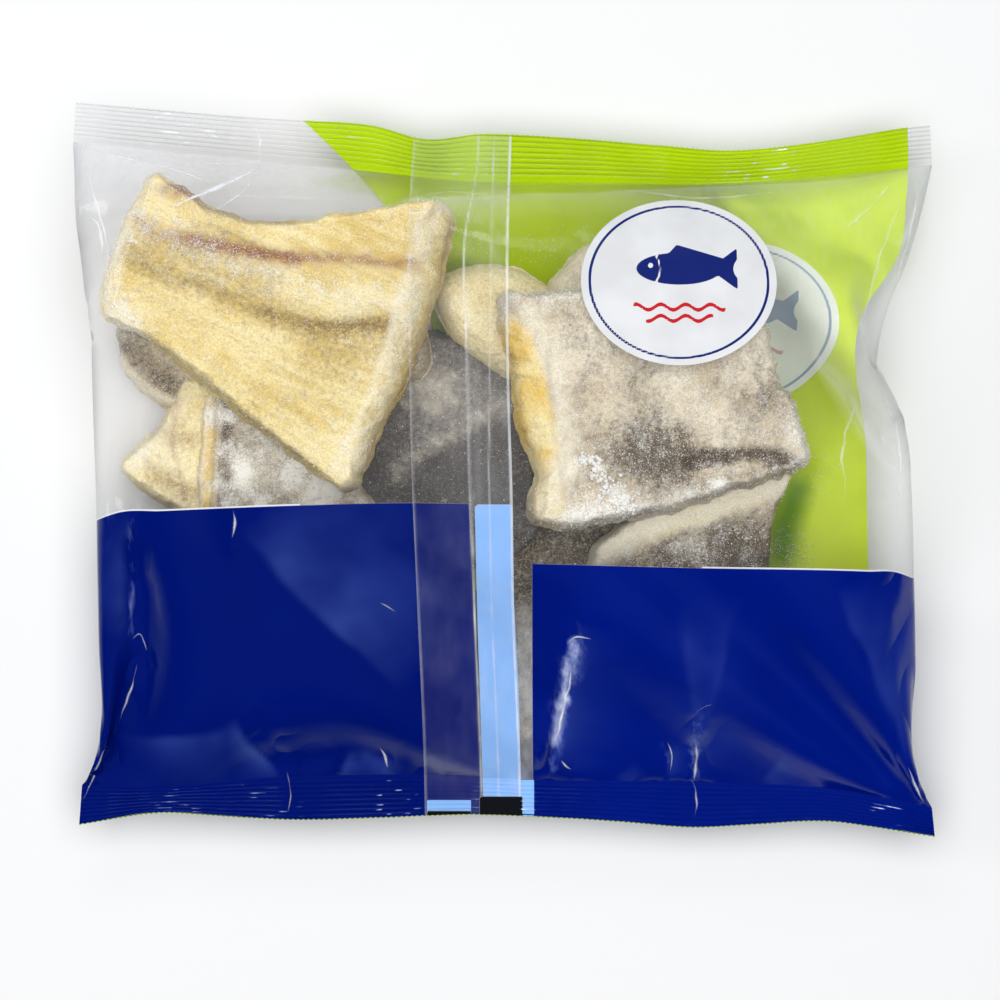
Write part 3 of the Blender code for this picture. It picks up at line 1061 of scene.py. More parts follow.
def make_fish():
    """Every piece of fish, and the points of each, for the film to lie on."""
    made = [
        slab(
            "cod_main_slab", MAIN_SLAB, UPPER_BASE, 0.0185, FLESH, main_slab_look, edge=0.0024,
            bevels=(((1.0, 0.25), 0.0078), ((-1.0, 0.1), 0.004)), around=480, seed=11,
        ),
        slab(
            "cod_right_slab", RIGHT_SLAB, UPPER_BASE, 0.0205, SKIN, right_slab_look, edge=0.003,
            bevels=(((-1.0, -0.1), 0.005),), ragged=0.0009, around=480, seed=23,
        ),
        slab(
            "cod_left_skin", LEFT_SKIN, LOWER_BASE, 0.0145, SKIN,
            plain_look(shade=0.27, frost=0.16, seed=81, level=0.014, marks=LEFT_SKIN_MARKS),
            around=200, seed=31,
        ),
        slab(
            "cod_tail", TAIL, LOWER_BASE, 0.016, SMOOTH_FLESH,
            plain_look(shade=0.2, frost=0.06, pale=0.1, seed=84, level=0.017, marks=TAIL_MARKS),
            around=230, seed=37,
        ),
        slab(
            "cod_strip_slab", STRIP_SLAB, LOWER_BASE + 0.001, 0.018, SKIN,
            plain_look(shade=0.46, frost=0.46, seed=87, patchy=0.5, level=0.02, marks=STRIP_MARKS),
            around=290, seed=41,
        ),
        slab(
            "cod_dark_slab", DARK_SLAB, LOWER_BASE, 0.014, DARK_SKIN,
            plain_look(shade=0.78, frost=0.0, seed=90, patchy=0.3, level=0.016, marks=DARK_MARKS),
            around=290, seed=43,
        ),
        slab(
            "cod_tip", TIP, 0.0085, 0.015, SMOOTH_FLESH,
            plain_look(shade=0.12, frost=0.02, lumps=0.0006, size=0.02, seed=93), edge=0.0075,
            ragged=0.0003, around=230, seed=47,
        ),
        slab(
            "cod_back_ridge", BACK_RIDGE, 0.009, 0.019, SKIN,
            plain_look(shade=0.1, frost=0.14, pale=0.5, flesh=0.3, seed=96), edge=0.005,
            around=200, seed=53,
        ),
        slab(
            "cod_lower_right", LOWER_RIGHT, LOWER_BASE, 0.0225, SKIN,
            plain_look(shade=0.8, frost=0.16, seed=99, level=0.024, marks=RIDGE_MARKS),
            around=290, seed=59,
        ),
        slab(
            "cod_lower_middle", LOWER_MIDDLE, LOWER_BASE, 0.013, SKIN,
            plain_look(shade=0.7, frost=0.08, seed=102), around=290, seed=61,
        ),
        slab(
            "cod_chip", CHIP, 0.014, 0.009, SKIN,
            plain_look(shade=0.5, frost=0.1, seed=105), edge=0.003, around=130, seed=67,
        ),
    ]
    for piece, _ in made:
        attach(piece, "root")
        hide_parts("bag")
    return made


# The film against the fish


def close_points(piece):
    """Corners, edge middles and face centres of a piece."""
    mesh = piece.data
    corners = np.zeros(3 * len(mesh.vertices))
    mesh.vertices.foreach_get("co", corners)
    corners = corners.reshape(-1, 3)
    ends = np.zeros(2 * len(mesh.edges), np.int32)
    mesh.edges.foreach_get("vertices", ends)
    middles = corners[ends.reshape(-1, 2)].mean(axis=1)
    centres = np.zeros(3 * len(mesh.polygons))
    mesh.polygons.foreach_get("center", centres)
    return np.vstack([corners, middles, centres.reshape(-1, 3)])


def fish_fields(clouds):
    """The highest and lowest fish over every cell that the film may lie on."""
    shape = (len(FIELD_Y), len(FIELD_X))
    top = np.full(shape, -1.0)
    low = np.full(shape, 1.0)
    for points in clouds:
        column = np.round((points[:, 0] - FIELD_X[0]) / CELL).astype(int)
        row = np.round((points[:, 1] - FIELD_Y[0]) / CELL).astype(int)
        np.maximum.at(top, (row, column), points[:, 2])
        np.minimum.at(low, (row, column), points[:, 2])
    return top, low


def skirt(field, slope):
    """The field with sides that fall no steeper than the slope, as film over an edge."""
    for step_y, step_x in [(0, 1), (1, 0), (1, 1), (1, -1)] * 2:
        fall = slope * CELL * math.hypot(step_y, step_x)
        for _ in range(14):
            for sign in (1, -1):
                moved = np.roll(field, (sign * step_y, sign * step_x), axis=(0, 1)) - fall
                field = np.maximum(field, moved)
    return field


def room_at_welds():
    """How far each cell of the height field is from the nearer weld."""
    xs, ys = np.meshgrid(FIELD_X, FIELD_Y)
    column, _ = seen_at(np.stack([xs, ys, np.full_like(xs, FOLD_LEVEL)], axis=-1))
    top_y = spot(0, smooth_line(TOP_WELD, column), FOLD_LEVEL)[1]
    bottom_y = spot(0, smooth_line(BOTTOM_WELD, column), FOLD_LEVEL)[1]
    return np.maximum(0.0, np.minimum(top_y - ys, ys - bottom_y))


def sample(field, x, y):
    """The height field between its cells."""
    u = np.clip((x - FIELD_X[0]) / CELL, 0, len(FIELD_X) - 1.001)
    v = np.clip((y - FIELD_Y[0]) / CELL, 0, len(FIELD_Y) - 1.001)
    i = u.astype(int)
    j = v.astype(int)
    u = u - i
    v = v - j
    near = field[j, i] * (1 - u) + field[j, i + 1] * u
    far = field[j + 1, i] * (1 - u) + field[j + 1, i + 1] * u
    return near * (1 - v) + far * v


def side_lines():
    """The left and right outline as (Y, X) points in metres, bottom first."""
    lines = []
    for side in (LEFT_SIDE, RIGHT_SIDE):
        places = [spot(column, row, FOLD_LEVEL) for row, column in reversed(side)]
        lines.append([(y, x) for x, y in places])
    return lines


def weld_line(points, columns):
    """X and Y of evenly spaced points along a weld."""
    column = np.linspace(points[0][0], points[-1][0], columns)
    return spot(column, smooth_line(points, column), FOLD_LEVEL)


def flat_film():
    """The tube of film before it is filled: rows of points round it, near film first."""
    left, right = side_lines()
    top_x, top_y = weld_line(TOP_WELD, COARSE_COLUMNS)
    bottom_x, bottom_y = weld_line(BOTTOM_WELD, COARSE_COLUMNS)
    up = np.linspace(0, 1, COARSE_ROWS)[:, None]
    across = np.linspace(0, 1, COARSE_COLUMNS)
    y = bottom_y + (top_y - bottom_y) * up
    left_x = smooth_line(left, y[:, 0])[:, None]
    right_x = smooth_line(right, y[:, -1])[:, None]
    x = left_x + (right_x - left_x) * across
    x[0] = bottom_x
    x[-1] = top_x
    near = np.stack([x, y, np.full_like(x, FOLD_LEVEL)], axis=-1)
    far = near[:, -2:0:-1].copy()
    bulge = 0.004 * np.sin(math.pi * up) * np.sin(math.pi * across)
    near[..., 2] += bulge
    far[..., 2] -= bulge[:, -2:0:-1]
    return np.concatenate([near, far], axis=1)


def pull(first, second, rest):
    """Moves paired points along their line until they are the rest length apart."""
    gap = second - first
    length = np.sqrt(np.einsum("...i,...i->...", gap, gap)) + 1e-12
    move = gap * (0.5 * (length - rest) / length)[..., None]
    return first + move, second - move


def pull_round(film, rest):
    """Pulls each point to its neighbours in its own row, round the tube."""
    film[:, 0::2], film[:, 1::2] = pull(film[:, 0::2], film[:, 1::2], rest)
    first, second = pull(film[:, 1::2], np.roll(film[:, 0::2], -1, axis=1), rest)
    film[:, 1::2] = first
    film[:, 0::2] = np.roll(second, 1, axis=1)


def pull_along(film, rest, turn):
    """Pulls each row to the next, straight up for turn 0 and on a slant for 1 or -1."""
    for start in (0, 1):
        stop = start + (len(film) - start) // 2 * 2
        lower = film[start:stop:2]
        upper = np.roll(film[start + 1 : stop : 2], turn, axis=1)
        lower, upper = pull(lower, upper, rest)
        film[start:stop:2] = lower
        film[start + 1 : stop : 2] = np.roll(upper, -turn, axis=1)


def unbend(film, stiffness):
    """Evens out sharp bends, more the stiffer the film is."""
    curl = np.roll(film, 1, axis=1) + np.roll(film, -1, axis=1) - 4 * film
    curl[1:-1] += film[:-2] + film[2:]
    curl[[0, -1]] = 0.0
    change = np.roll(curl, 1, axis=1) + np.roll(curl, -1, axis=1) - 4 * curl
    change[1:-1] += curl[:-2] + curl[2:]
    change[[0, -1]] = 0.0
    return film - stiffness * change


def relax(film, steps, pressure, stiffness, top, low, grow_from=1.0, inner=6):
    """Lets the film settle over the fish, on the floor and inside the outline."""
    columns = film.shape[1] // 2 + 1
    cell_x = FLAT_WIDTH / (columns - 1)
    cell_y = FLAT_LENGTH / (len(film) - 1)
    slant = math.hypot(cell_x, cell_y)
    far_index = np.r_[columns - 1 : film.shape[1], 0]
    left, right = side_lines()
    welds = film[[0, -1]].copy()
    before = film.copy()
    for step in range(steps):
        grown = min(1.0, grow_from + (1 - grow_from) * step / (0.5 * steps))
        film, before = film + KEPT_SPEED * (film - before), film
        round_way = np.roll(film, -1, axis=1) - np.roll(film, 1, axis=1)
        along_way = np.zeros_like(film)
        along_way[1:-1] = film[2:] - film[:-2]
        film = film + pressure * np.cross(round_way, along_way) / (4 * cell_x * cell_y)
        for _ in range(inner):
            film = unbend(film, stiffness)
            pull_round(film, cell_x)
            film[[0, -1]] = welds
            pull_along(film, cell_y, 0)
            film[[0, -1]] = welds
            pull_along(film, slant, 1)
            pull_along(film, slant, -1)
            near = film[:, :columns]
            rest = sample(top, near[..., 0], near[..., 1]) * grown + FILM_GAP
            film[:, :columns, 2] = np.maximum(near[..., 2], rest)
            far = film[:, far_index]
            roof = sample(low, far[..., 0], far[..., 1]) - FILM_GAP
            film[:, far_index, 2] = np.maximum(np.minimum(far[..., 2], roof), FILM_GAP)
            left_x = smooth_line(left, film[..., 1])
            right_x = smooth_line(right, film[..., 1])
            film[..., 0] = np.clip(film[..., 0], left_x, right_x)
            film[:, 0, 0] += SIDE_PULL * (left_x[:, 0] - film[:, 0, 0])
            fold = columns - 1
            film[:, fold, 0] += SIDE_PULL * (right_x[:, fold] - film[:, fold, 0])
            film[[0, -1]] = welds
    return film


def between(rows):
    """The rows with a smooth new one between each pair, along the first axis."""
    padded = np.concatenate([2 * rows[:1] - rows[1:2], rows, 2 * rows[-1:] - rows[-2:-1]])
    middle = (9 * (padded[1:-2] + padded[2:-1]) - padded[:-3] - padded[3:]) / 16
    out = np.empty((2 * len(rows) - 1, *rows.shape[1:]))
    out[0::2] = rows
    out[1::2] = middle
    return out


def finer_tube(film):
    """The same tube on a grid with twice the cells each way."""
    ahead = np.roll(film, -1, axis=1)
    middle = (9 * (film + ahead) - np.roll(film, 1, axis=1) - np.roll(film, -2, axis=1)) / 16
    wide = np.empty((film.shape[0], 2 * film.shape[1], 3))
    wide[:, 0::2] = film
    wide[:, 1::2] = middle
    return between(wide)


def settle_film(clouds):
    """The film tube at rest around the fish."""
    top, low = fish_fields(clouds)
    room = room_at_welds()
    top = np.minimum(skirt(top, NEAR_SLOPE), FOLD_LEVEL + WELD_SLOPE * room)
    low = np.maximum(-skirt(-low, FAR_SLOPE), FOLD_LEVEL - WELD_SLOPE * room)
    random = np.random.default_rng(7)
    film = flat_film()
    film[1:-1] += random.normal(0.0, 0.0002, film[1:-1].shape)
    film = relax(film, *FIRST_STAGE, top, low, grow_from=0.1, inner=8)
    for stage in LATER_STAGES:
        film = finer_tube(film)
        film[1:-1] += random.normal(0.0, 0.00004, film[1:-1].shape)
        film = relax(film, *stage, top, low)
    return film


def new_sheet(name, rows, material):
    """An object from rows of points."""
    return new_object(name, rows.reshape(-1, 3), grid_quads(*rows.shape[:2]), material)


def near_print(points):
    """Signed distances in millimetres, positive inside, of each field of the near print."""
    column, row = seen_at(points)
    to_mm = PIXEL * 1000
    left_blue = inside(
        row - smooth_line(BLUE_LEFT_TOP, column), smooth_line(BLUE_LEFT_END, row) - column
    )
    right_blue = inside(
        row - smooth_line(BLUE_RIGHT_TOP, column), column - smooth_line(BLUE_RIGHT_START, row)
    )
    sky_left = smooth_line(SKY_LEFT, row)
    sky = inside(column - sky_left, smooth_line(SKY_RIGHT, row) - column, row - SKY_TOP_ROW)
    foot = inside(row - CRIMP_SKY_ROW, column - sky_left, FOOT_END - column)
    sliver = inside(column - SLIVER_COLUMNS[0], SLIVER_COLUMNS[1] - column, row - SLIVER_ROWS[0])
    mark = inside(column - MARK_COLUMNS[0], MARK_COLUMNS[1] - column, row - MARK_ROW)
    dark_sliver = inside(sliver, row - SLIVER_ROWS[1])
    blue = np.maximum(left_blue, right_blue)
    bare = (column > WHITE_EDGE_GAP[0]) & (column < WHITE_EDGE_GAP[1])
    return {
        "white": np.where(bare, -1.0, blue + WHITE_EDGE) * to_mm,
        "blue": blue * to_mm,
        "sky": np.maximum(np.maximum(sky, foot), sliver) * to_mm,
        "black": np.maximum(mark, dark_sliver) * to_mm,
        "fade": ramp(column, *LIGHT_BLUE_COLUMNS),
    }


def far_print(points):
    """Signed distances in millimetres of the far film's lime, darker green and blue fields, and the
    painted light and shade on its lime.
    """
    column, row = seen_at(points)
    green = inside(
        column - smooth_line(GREEN_LEFT, row), smooth_line(GREEN_RIGHT, row) - column
    )
    # Painted light and shade: the lime lighter to the right and under the top weld, and uneven;
    # also taken down along a darker line
    fade = ramp(column, *LIGHT_LIME_COLUMNS) + ramp(row, *LIGHT_LIME_ROWS)
    dark_line = stroke(points, DARK_LIME_LINE, 0.0, 0.005)
    fade = np.clip(fade - dark_line, 0.0, 1.0) * (1 + 0.5 * layered_noise(points, 0.02, 233))
    dark_patch = stroke(points, DARK_GREEN_PATCH, 0.0, 0.0042) + 0.25 * layered_noise(points, 0.008, 235)
    return {
        "green": green * PIXEL * 1000,
        "deep": 0.12 * (dark_patch - 0.62),
        "blue": (row - FAR_BLUE_ROW) * PIXEL * 1000,
        "fade": fade,
    }


NEAR_FILM = film_material(
    "near_film",
    0.016,
    (("white", WHITE_INK, WHITE_INK), ("blue", BLUE, BLUE_LIGHT), ("sky", SKY, SKY),
     ("black", BLACK, BLACK)),
)
FAR_FILM = film_material(
    "far_film",
    0.014,
    (("green", LIME_SHADE, LIME_LIGHT), ("deep", LIME_DEEP, LIME_DEEP), ("blue", BLUE, BLUE)),
)
FAR_CRIMP = film_material("far_crimp", 0.02, (("green", LIME, LIME), ("blue", BLUE, BLUE)))
FLAP_FILM = film_material("flap_film", 0.02, (("black", BLACK, BLACK),), gloss=0.03)
CREASE_FILM = film_material("crease_film", 0.0, gloss=0.02)


def make_crimp(name, edge, cut_points, is_top, is_near):
    """One sheet of a welded end: from the film's last row to its cut edge, ridged.

    The far sheet lies under the near one and reaches a little beyond it.
    """
    fine = between(edge)
    count = len(fine)
    column = np.linspace(cut_points[0][0], cut_points[-1][0], count)
    cut_x, cut_y = spot(column, smooth_line(cut_points, column), FOLD_LEVEL - 0.001)
    run = np.cumsum(np.hypot(np.gradient(cut_x), np.gradient(cut_y)))
    tooth = np.abs((run / TOOTH_PITCH) % 1.0 - 0.5) * 2
    outward = 1.0 if is_top else -1.0
    if not is_near:
        cut_y = cut_y + outward * FAR_SHEET_REACH
    rows = []
    dims = []
    glints = []
    for share in np.linspace(0.0, 1.0, CRIMP_ROWS + 1):
        x = fine[:, 0] + (cut_x - fine[:, 0]) * share
        y = fine[:, 1] + (cut_y - fine[:, 1]) * share
        y = y - outward * TOOTH_DEPTH * tooth * max(0.0, share * 8 - 7)
        flat = np.stack([x, y * 0.2, np.zeros(count)], axis=-1)
        ridge = math.sin(2 * math.pi * CRIMP_RIDGES * share) * min(1.0, 6 * share)
        level = fine[:, 2] + (FOLD_LEVEL - CRIMP_SAG - fine[:, 2]) * share
        wave = CRIMP_WAVE * share * soft_noise(flat, 0.035, 201)
        creak = CRIMP_CREAK * soft_noise(flat, 0.006, 203) * share
        press = 1.0 + 0.5 * soft_noise(flat, 0.01, 205)
        under = 0.0 if is_near else SHEET_GAP * min(1.0, 4 * share)
        height = level + wave + creak + CRIMP_RELIEF * ridge * press - under
        rows.append(np.stack([x, y, height], axis=-1))
        # Painted shade in the ridge valleys and along the cut edge, and painted glints on the ridge
        # tops
        edge_dim = 0.4 * (share > 0.985)
        dims.append(0.02 + 0.4 * max(0.0, -ridge) ** 2 * press + edge_dim)
        spark = np.maximum(0.0, soft_noise(flat, 0.0028, 207 + len(rows)) - 0.2)
        bunch = np.maximum(0.0, soft_noise(flat, 0.016, 209 + is_top) - 0.1)
        glints.append((2.8 if is_top else 1.8) * spark * bunch * max(0.0, ridge) ** 0.5)
    order = slice(None, None, 1 if is_top else -1)
    points, dims, glints = (np.stack(part)[order] for part in (rows, dims, glints))
    flat_points = points.reshape(-1, 3)
    crimp = new_sheet(name, points, NEAR_FILM if is_near else FAR_CRIMP)
    if is_near:
        give_values(
            crimp, haze=-0.03, dim=dims.ravel(), glint=glints.ravel(), **near_print(flat_points)
        )
        return crimp, points
    fields = far_print(flat_points)
    if not is_top:
        column, row = seen_at(flat_points)
        hem = (smooth_line(BOTTOM_CUT, column) - row) * PIXEL - LIME_HEM
        fields["blue"] = hem * 1000
        fields["green"] = np.full(len(flat_points), 5.0)
    give_values(crimp, haze=0.0, dim=0.03, **fields)
    return crimp, points


def make_flap(near, bottom_crimp, top_crimp):
    """The back seam's flap: a strip of film on the near film, its free edge lifted."""
    sheet = [*bottom_crimp[:-1:2], *near, *top_crimp[1::2]]
    across = np.linspace(0.0, 1.0, 57)
    points = []
    for line in sheet:
        column, row = seen_at(line)
        row_here = np.interp(FLAP_COLUMN, column, row)
        left = smooth_line(FLAP_LEFT, row_here)
        right = smooth_line(FLAP_RIGHT, row_here)
        wanted = left + (right - left) * across
        place = [np.interp(wanted, column, line[:, axis]) for axis in range(3)]
        points.append(np.stack(place, axis=-1))
    points = np.array(points)
    column, row = seen_at(points)
    up = np.linspace(0.0, 1.0, len(points))[:, None]
    free = np.clip(1 - across / 0.5, 0.0, 1.0)[None, :]
    loose = free * (1 + soft_noise(points, 0.03, 211)) * np.sin(math.pi * up) ** 0.5
    lift = FLAP_GAP + FLAP_LIFT * loose
    lift = lift + FLAP_RIPPLE * soft_noise(points * np.array([1.0, 0.2, 1.0]), 0.0022, 213)
    points[..., 2] += lift
    weld = smooth_line(WELD_LEFT, row)
    middle = smooth_line(WELD_MIDDLE, row)
    left = smooth_line(FLAP_LEFT, row)
    right = smooth_line(FLAP_RIGHT, row)
    worn = 0.75 + 0.5 * soft_noise(points * np.array([1.0, 0.4, 1.0]), 0.004, 215)
    # Painted highlights along the flap's two long edges; the weld lines, the top and the streaks
    # are the film's own whitening
    haze = 0.9 * np.exp(-(((column - right + 1.0) / 0.9) ** 2))
    haze += 0.4 * np.exp(-(((column - left - 0.8) / 0.8) ** 2))
    haze += 0.5 * np.exp(-(((column - weld) / 0.9) ** 2)) * worn
    haze += 0.3 * np.exp(-(((column - middle) / 0.8) ** 2)) * worn
    haze += 0.02 * (column > weld) + 0.04 * ramp(row, 230, 180)
    flap = new_sheet("seam_flap", points, FLAP_FILM)
    streaks = soft_noise(points * np.array([1.0, 0.12, 1.0]), 0.0018, 217)
    haze += 0.08 * np.maximum(0.0, streaks) * (column > weld)
    give_values(flap, haze=haze.ravel(), dim=0.02, black=near_print(points)["black"].ravel())
    return flap


def crumple(points):
    """How crumpled the film is at each point, and how far it stands out there."""
    amount = 0.0
    for marks, width, share in CRUMPLES:
        amount = amount + share * stroke(points, marks, CREASE_LEVEL, width)
    flat = points * np.array([1.0, 0.4, 0.0])
    wide = 1 - np.abs(2.4 * soft_noise(flat, 0.011, 221))
    small = 1 - np.abs(2.4 * soft_noise(flat, 0.005, 223))
    ridges = np.maximum(0.0, wide + 0.3 * small)
    return amount, CRUMPLE_RELIEF * amount * ridges


def sheen(points):
    """The painted highlight of the film's sharp folds at each point."""
    total = 0.0
    for marks, width, amount in SHEENS:
        total = total + amount * stroke(points, marks, CREASE_LEVEL, width)
    uneven = layered_noise(points * np.array([1.0, 0.3, 0.0]), 0.004, 227)
    return np.maximum(0.0, total * (1.0 + 0.6 * uneven))


def facets(points):
    """The painted sheen of the film's facets at each point, sharp at a fold, then fading."""
    total = np.zeros(points.shape[:-1])
    for start, end, reach, amount in FACETS:
        start = np.array(spot(*start, CREASE_LEVEL))
        way = np.array(spot(*end, CREASE_LEVEL)) - start
        long = np.hypot(*way)
        way = way / long
        from_start = points[..., :2] - start
        along = (from_start @ way) / long
        side = from_start[..., 1] * way[0] - from_start[..., 0] * way[1]
        side = side * math.copysign(1.0, amount)
        side = side + 0.0018 * soft_noise(points * np.array([1.0, 1.0, 0.0]), 0.011, 229)
        fade = np.exp(-np.maximum(side, 0.0) / reach) * np.clip(side / 0.0022, 0.0, 1.0)
        ends = np.clip(along * 4, 0.0, 1.0) * np.clip((1 - along) * 3, 0.0, 1.0)
        total = np.maximum(total, abs(amount) * fade * ends)
    return total


def film_surface(rows):
    """Rows of points as a surface that rays can hit."""
    return BVHTree.FromPolygons(rows.reshape(-1, 3).tolist(), grid_quads(*rows.shape[:2]))


def height_on(surface, x, y, from_above=True):
    """The height at which an upright line through each X, Y meets the film."""
    way = -1.0 if from_above else 1.0
    heights = []
    for place in zip(np.ravel(x).tolist(), np.ravel(y).tolist()):
        hit = surface.ray_cast((*place, -0.2 * way), (0.0, 0.0, way))[0]
        heights.append(FOLD_LEVEL if hit is None else hit.z)
    return np.reshape(heights, np.shape(x))


def make_creases(near_surface):
    """Sharp folds in the film: narrow ridges that catch the light, whitened with painted
    highlights.
    """
    along = np.linspace(0.0, 1.0, 48)
    across = np.linspace(-1.0, 1.0, 7)
    points = []
    faces = []
    haze = []
    for number, (marks, width, strength) in enumerate(CREASES):
        places = np.linspace(0.0, 1.0, len(marks))
        column = smooth_line([(at, mark[0]) for at, mark in zip(places, marks)], along)
        row = smooth_line([(at, mark[1]) for at, mark in zip(places, marks)], along)
        x, y = spot(column, row, CREASE_LEVEL)
        path = np.stack([x, y, np.zeros_like(x)], axis=-1)
        sway = min(0.0004, 0.015 * np.hypot(np.ptp(x), np.ptp(y)))
        x = x + sway * soft_noise(path, 0.0025, 300 + number)
        way = np.stack([np.gradient(x), np.gradient(y)], axis=-1)
        way = way / np.linalg.norm(way, axis=1)[:, None]
        swell = np.sin(math.pi * along) ** 0.7 * (0.8 + 0.5 * soft_noise(path, 0.004, 340 + number))
        half = 0.5 * width * swell
        wide_x = x[:, None] - way[:, 1:] * across * half[:, None]
        wide_y = y[:, None] + way[:, :1] * across * half[:, None]
        peak = (1 - np.abs(across)) * half[:, None]
        height = height_on(near_surface, wide_x, wide_y) + CREASE_LIFT + 0.5 * peak
        strip = np.stack([wide_x, wide_y, height], axis=-1)
        start = sum(len(one) for one in points)
        faces += [[start + corner for corner in quad] for quad in grid_quads(*strip.shape[:2])]
        points.append(strip.reshape(-1, 3))
        haze.append((strength * (1 - np.abs(across)) * swell[:, None]).ravel())
    creases = new_object("film_creases", np.vstack(points), faces, CREASE_FILM)
    give_values(creases, haze=np.concatenate(haze), dim=0.0)
    return creases


def make_label(name, centre, surface, lift, material, from_above=True):
    """A white oval printed on the film, with a thin ring, a plain fish and two waves."""
    middle_x, middle_y = spot(*centre, FOLD_LEVEL)
    level = float(height_on(surface, middle_x, middle_y, from_above))
    middle_x, middle_y = spot(*centre, level)
    side_x = np.linspace(-1.02, 1.02, 91) * LABEL_HALF[0]
    side_y = np.linspace(-1.02, 1.02, 79) * LABEL_HALF[1]
    xs, ys = np.meshgrid(side_x, side_y)
    height = height_on(surface, xs + middle_x, ys + middle_y, from_above) + lift
    points = np.stack([xs + middle_x, ys + middle_y, height], axis=-1)
    reach = np.hypot(xs / LABEL_HALF[0], ys / LABEL_HALF[1])
    oval = (1 - reach) * LABEL_HALF[1] * 1000
    keep = oval > -0.35
    whole = keep[:-1, :-1] | keep[:-1, 1:] | keep[1:, 1:] | keep[1:, :-1]
    quads = np.array(grid_quads(*xs.shape))[whole.ravel()]
    used, faces = np.unique(quads, return_inverse=True)
    label = new_object(name, points.reshape(-1, 3)[used], faces.reshape(-1, 4).tolist(), material)
    fields = {
        "oval": oval,
        "ring": LABEL_RING_WIDTH * 500 - np.abs(oval - LABEL_RING_INSET * 1000),
        "fish": fish_shape(xs * 1000, ys * 1000 - 3.5),
        "waves": wave_shape(xs * 1000, ys * 1000 + 7.5),
    }
    give_values(label, **{key: field.ravel()[used] for key, field in fields.items()})
    return label


def fish_shape(x, y):
    """Signed distance in millimetres of a plain fish outline, its nose to -X."""
    body = (1 - np.hypot(x / 12.0, y / 4.6)) * 4.6
    notch = np.hypot(x - 19.0, y) - 3.6
    tail = inside(x - 9.5, 16.5 - x, (x - 8.5) * 0.75 - np.abs(y), notch)
    fin = inside(y - 2.0, (x + 5.0) * 1.1 - (y - 2.0), 7.4 - y - (x + 2.0) * 0.3)
    eye = np.hypot(x + 8.0, y - 0.9) - 0.75
    gill = np.abs(np.hypot(x + 11.5, y) - 6.2) - 0.28
    return inside(np.maximum(np.maximum(body, tail), fin), eye, gill)


def wave_shape(x, y):
    """Signed distance in millimetres of two short wavy lines, one over the other."""
    sway = 0.8 * np.sin(x * 2 * math.pi / 7.0)
    upper = np.minimum(0.55 - np.abs(y - sway), 13.0 - np.abs(x))
    lower = np.minimum(0.55 - np.abs(y + 3.2 - sway), 9.5 - np.abs(x))
    return np.maximum(upper, lower)


def label_material(name, paper, navy, red, gloss):
    """Opaque ink inside the oval, and nothing outside it."""
    r = Recipe(name)
    colour = r.scale_colour(paper, r.spread(r.noise(0.012), 0.35, 0.65, 0.95, 1.05))
    for field, field_colour in (("ring", navy), ("fish", navy), ("waves", red)):
        colour = r.blend(r.spread(r.value(field), -0.05, 0.05), colour, field_colour)
    ink = r.body(colour, 0.2, gloss, Normal=r.bump(r.noise(0.006), 0.0003, 0.3))
    nothing = r.shader("Transparent")
    return r.finish(r.mix_shaders(r.spread(r.value("oval"), -0.05, 0.05), nothing, ink))


LABEL = label_material("label_print", srgb(210, 211, 213), NAVY, srgb(186, 20, 34), 0.3)
LABEL_BACK = label_material(
    "label_print_from_behind", srgb(228, 234, 220), srgb(146, 164, 184), srgb(206, 162, 160), 0.1
)


